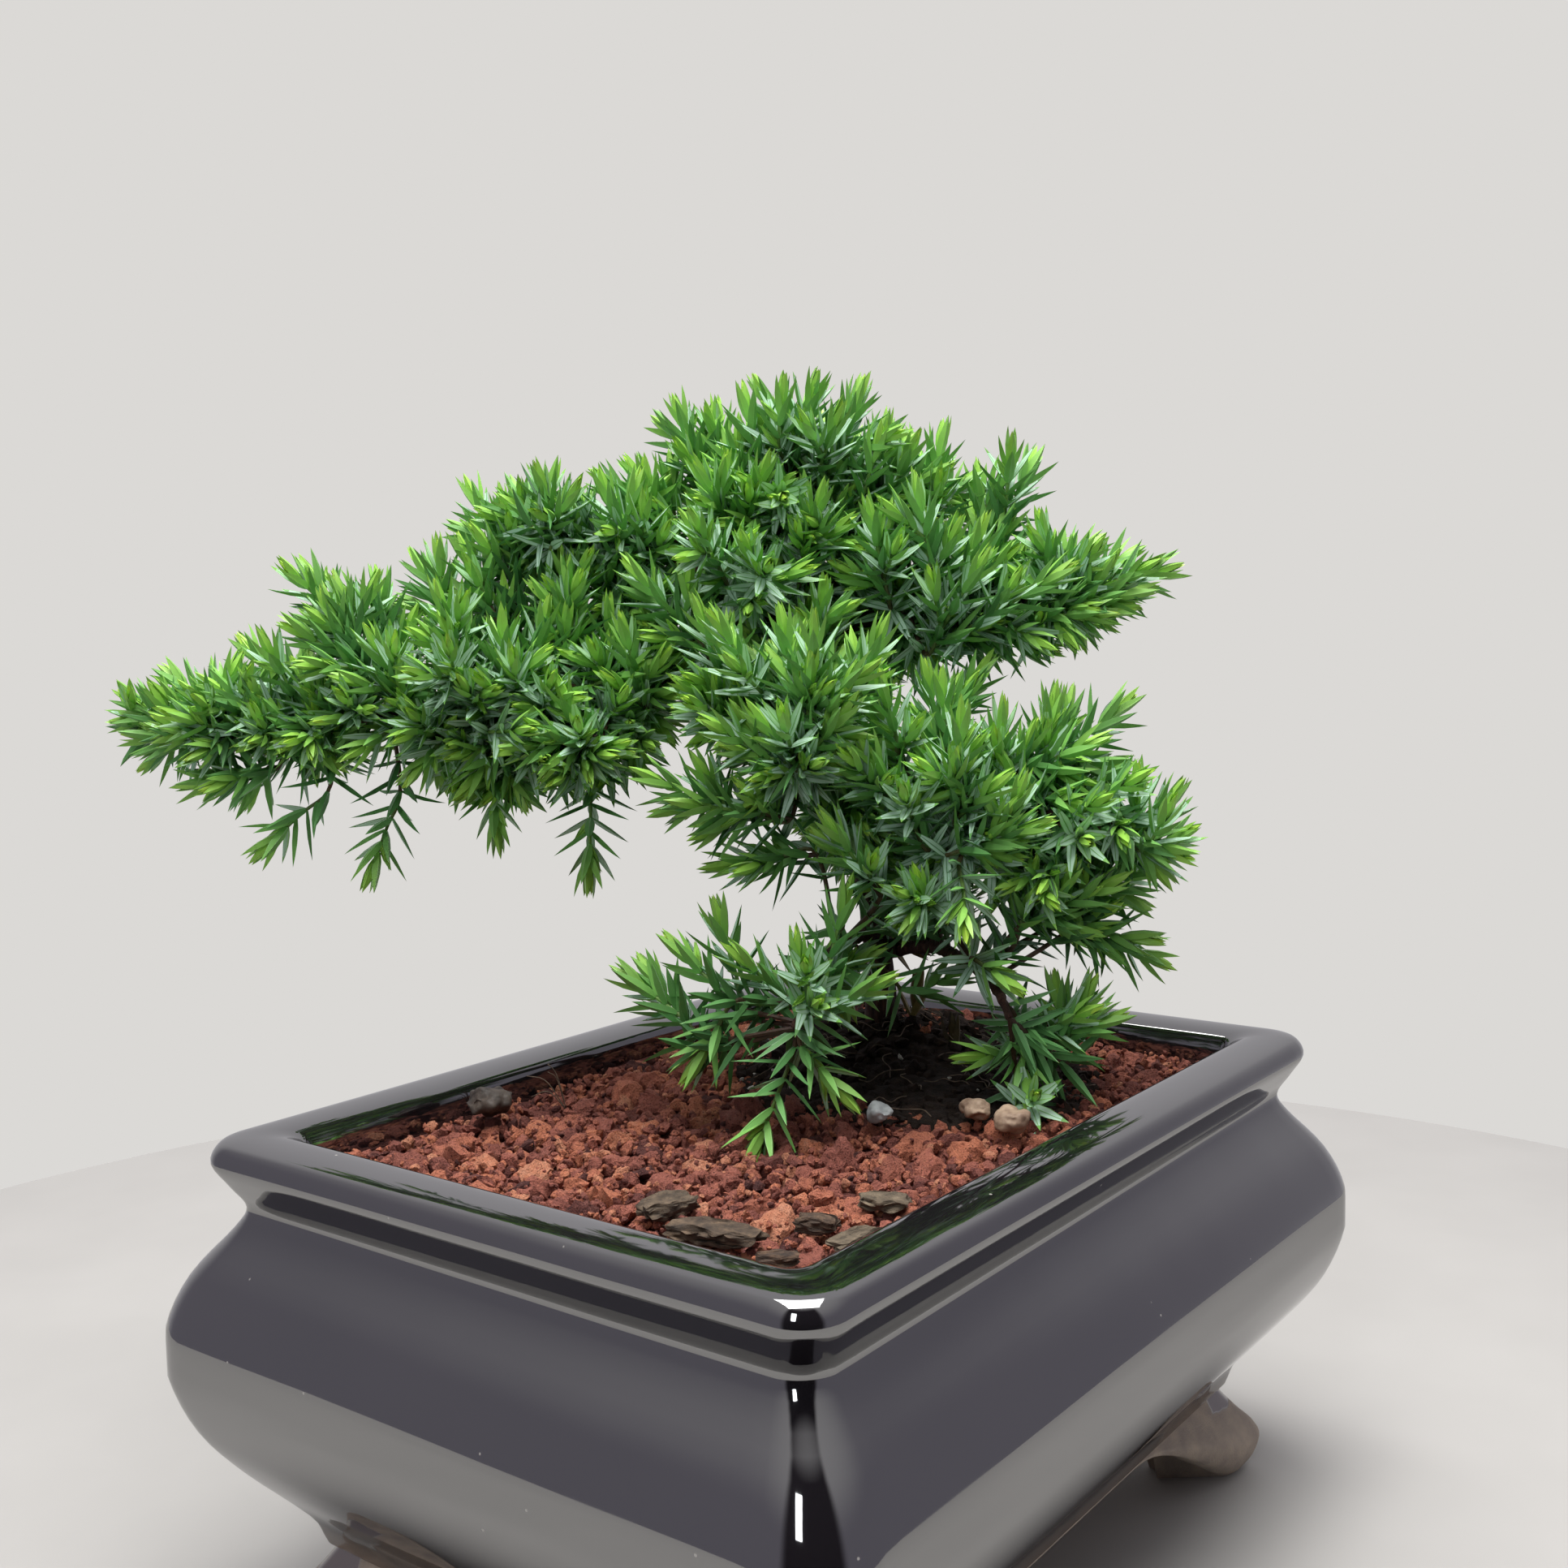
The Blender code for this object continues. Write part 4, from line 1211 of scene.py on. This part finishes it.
limb_tree = kdtree.KDTree(len(limb_centres))
for index, centre in enumerate(limb_centres):
    limb_tree.insert(centre, index)
limb_tree.balance()
juniper_needle = needle_finish()
green_twig = twig_finish()
named_tips = [Vector(shoot[3:]) for shoots in SHOOTS.values() for shoot in shoots]
for mass, lumps in LUMPS.items():
    draw = random.Random(mass)
    foliage = Foliage()
    apart, side_shoots = SPACING[mass]
    for shoot in SHOOTS.get(mass, ()):
        base, tip = Vector(shoot[:3]), Vector(shoot[3:])
        reach = (tip - base).length
        way = (tip - base).normalized()
        root = limb_tree.find(base - way * 9)[0]
        join = base - way * min(7, (base - root).length * 0.5)
        spread = 0.8 if way.z > 0.5 else 0.95
        foliage.add_shoot([root, join, base, tip], reach + LEAFY_BEHIND, draw, spread)
        if way.z < -0.3:
            continue
        turn = draw.uniform(0, math.tau)
        for part in range(side_shoots):
            out = turned(way.orthogonal().normalized(), turn + math.tau * part / side_shoots, way)
            side = (way + out * draw.uniform(0.7, 1.1)).normalized()
            start = base.lerp(tip, -0.35 + 0.25 * part)
            end = start + side * reach * draw.uniform(0.75, 0.95)
            foliage.add_shoot([join, join.lerp(start, 0.6), start, end], (end - start).length + 3, draw, 0.85)
    for tip, out in lump_tips(lumps, apart, draw):
        way = (out + Vector((0, 0, 0.2)) + any_drift(draw, 0.22)).normalized()
        base = tip - way * draw.uniform(10, 14)
        root = limb_tree.find(base - way * 8)[0]
        join = base.lerp(root, 0.4)
        foliage.add_shoot([root, join, base, tip], LEAFY, draw, 0.8 if way.z > 0.5 else 0.95)
    needles = foliage.piece(f"needles_{mass}", juniper_needle, green_twig)
    fit(needles, f"foliage_{mass}")

# ---- the dry sprigs
# Shaded shoots low on the stem have died back to short brown sprigs, and two seedlings of the
# same kind stand in the soil by it.

DRY_SPRIGS = (
    (33, 6, 97, 36, -1, 95), (33, 6, 99, 31, -3, 98), (32, 7, 101, 35, -5, 100), (32, 7, 98, 26, 3, 94),
)
SEEDLINGS = ((34, 2, 80, 36, 1, 90), (33, -8, 76, 34, -7, 83))


def dry_needle_finish():
    dry = Finish("dry_needle")
    tone = dry.value("tint") + dry.noise(dry.place(), 1.2, 3) * 0.4
    coloured = tone.ramp((0.35, 46, 38, 24), (0.7, 88, 74, 40), (1.0, 132, 118, 68))
    dry.set(Base_Color=coloured, Roughness=0.7)
    return dry.material


draw = random.Random("dry")
sprigs = Foliage()
for sprays, leafy, spread, dryness in ((DRY_SPRIGS, 8, 1.0, 1.0), (SEEDLINGS, 9, 0.75, 0.8)):
    for shoot in sprays:
        base, tip = Vector(shoot[:3]), Vector(shoot[3:])
        sprigs.add_shoot([base, base.lerp(tip, 0.5), tip], leafy, draw, spread, dryness)
fit(sprigs.piece("dry_sprigs", dry_needle_finish(), green_twig))

# ---- the floor, the light and the camera
# A round pale table top, a wide soft light overhead and a narrow lamp behind the camera. The
# glaze mirrors the violet-grey walls of the room and its dim end, behind the camera too.

TABLE_RADIUS = 300
TABLE_PARTS = 128
EYE = np.array([-214.1, -159.0, 151.0])
SIDEWAYS = Vector((0.6027, -0.7977, -0.0208))
UPWARDS = Vector((0.0817, 0.0357, 0.996))
LENS = 38.31
FILM_WIDTH = 36

mesh = bmesh.new()
bmesh.ops.create_circle(mesh, cap_ends=True, segments=TABLE_PARTS, radius=TABLE_RADIUS)
table_data = bpy.data.meshes.new("table_top")
mesh.to_mesh(table_data)
mesh.free()
table_top = new_piece("table_top", table_data)
pale_table = mottled("pale_table", 0.02, 3, ((0.3, 172, 170, 167), (0.7, 177, 175, 172)), 0.7)
table_top.data.materials.append(pale_table)

eye = Vector((EYE * MM + MIDDLE).tolist())
backwards = SIDEWAYS.cross(UPWARDS).normalized()
overhead = backwards.cross(SIDEWAYS).normalized()
camera_turn = Matrix((SIDEWAYS.normalized(), overhead, backwards)).transposed()
camera_data = bpy.data.cameras.new("camera")
camera_data.lens = LENS
camera_data.sensor_width = FILM_WIDTH
camera_data.clip_start = 10 * MM
camera = bpy.data.objects.new("camera", camera_data)
camera.matrix_world = Matrix.Translation(eye) @ camera_turn.to_4x4()
bpy.context.scene.collection.objects.link(camera)
bpy.context.scene.camera = camera

room = bpy.data.worlds.new("room")
room.use_nodes = True
bpy.context.scene.world = room
room_start = Socket(room.node_tree, None)
heading = room_start.node("TexCoord", out=0)
towards_camera = backwards.copy()
towards_camera.z = 0
level = room_start.node("VectorMath", {"operation": "MULTIPLY"}, {0: heading, 1: (1, 1, 0)})
level = room_start.node("VectorMath", {"operation": "NORMALIZE"}, {0: level})
ends = {0: level, 1: towards_camera.normalized()}
facing = room_start.node("VectorMath", {"operation": "DOT_PRODUCT"}, ends, 1)
height = room_start.node("SeparateXYZ", None, {0: heading}, 2)
walls = height.between(0.35, 1.0).mix(paint(141, 138, 149), paint(208, 206, 208))
walls = facing.between(-0.3, -0.8).mix(walls, paint(214, 212, 216))
dim_end = facing.between(0.7, 0.84) * height.between(0.97, 0.85)
walls = dim_end.mix(walls, paint(30, 28, 32))
seen = room_start.node("LightPath", out=0)
backdrop = seen.mix(walls, paint(219, 217, 214))
room.node_tree.links.new(backdrop.output, room.node_tree.nodes["Background"].inputs["Color"])


def add_light(name, place, target, size, power, colour):
    light = bpy.data.lights.new(name, "AREA")
    light.shape = "RECTANGLE"
    light.size, light.size_y = size
    light.energy = power
    light.color = colour
    lamp = bpy.data.objects.new(name, light)
    lamp.location = place
    lamp.rotation_euler = (Vector(target) - Vector(place)).to_track_quat("-Z", "Y").to_euler()
    bpy.context.scene.collection.objects.link(lamp)


add_light("sky_light", (-0.05, -0.05, 0.75), (0, 0, 0.05), (0.5, 0.5), 8.4, (1.0, 0.99, 0.97))
add_light("narrow_lamp", (-0.57, -0.24, 0.48), (0, 0, 0.06), (0.09, 0.3), 0.9, (0.95, 0.97, 1.0))

bpy.context.scene.view_settings.view_transform = "Standard"
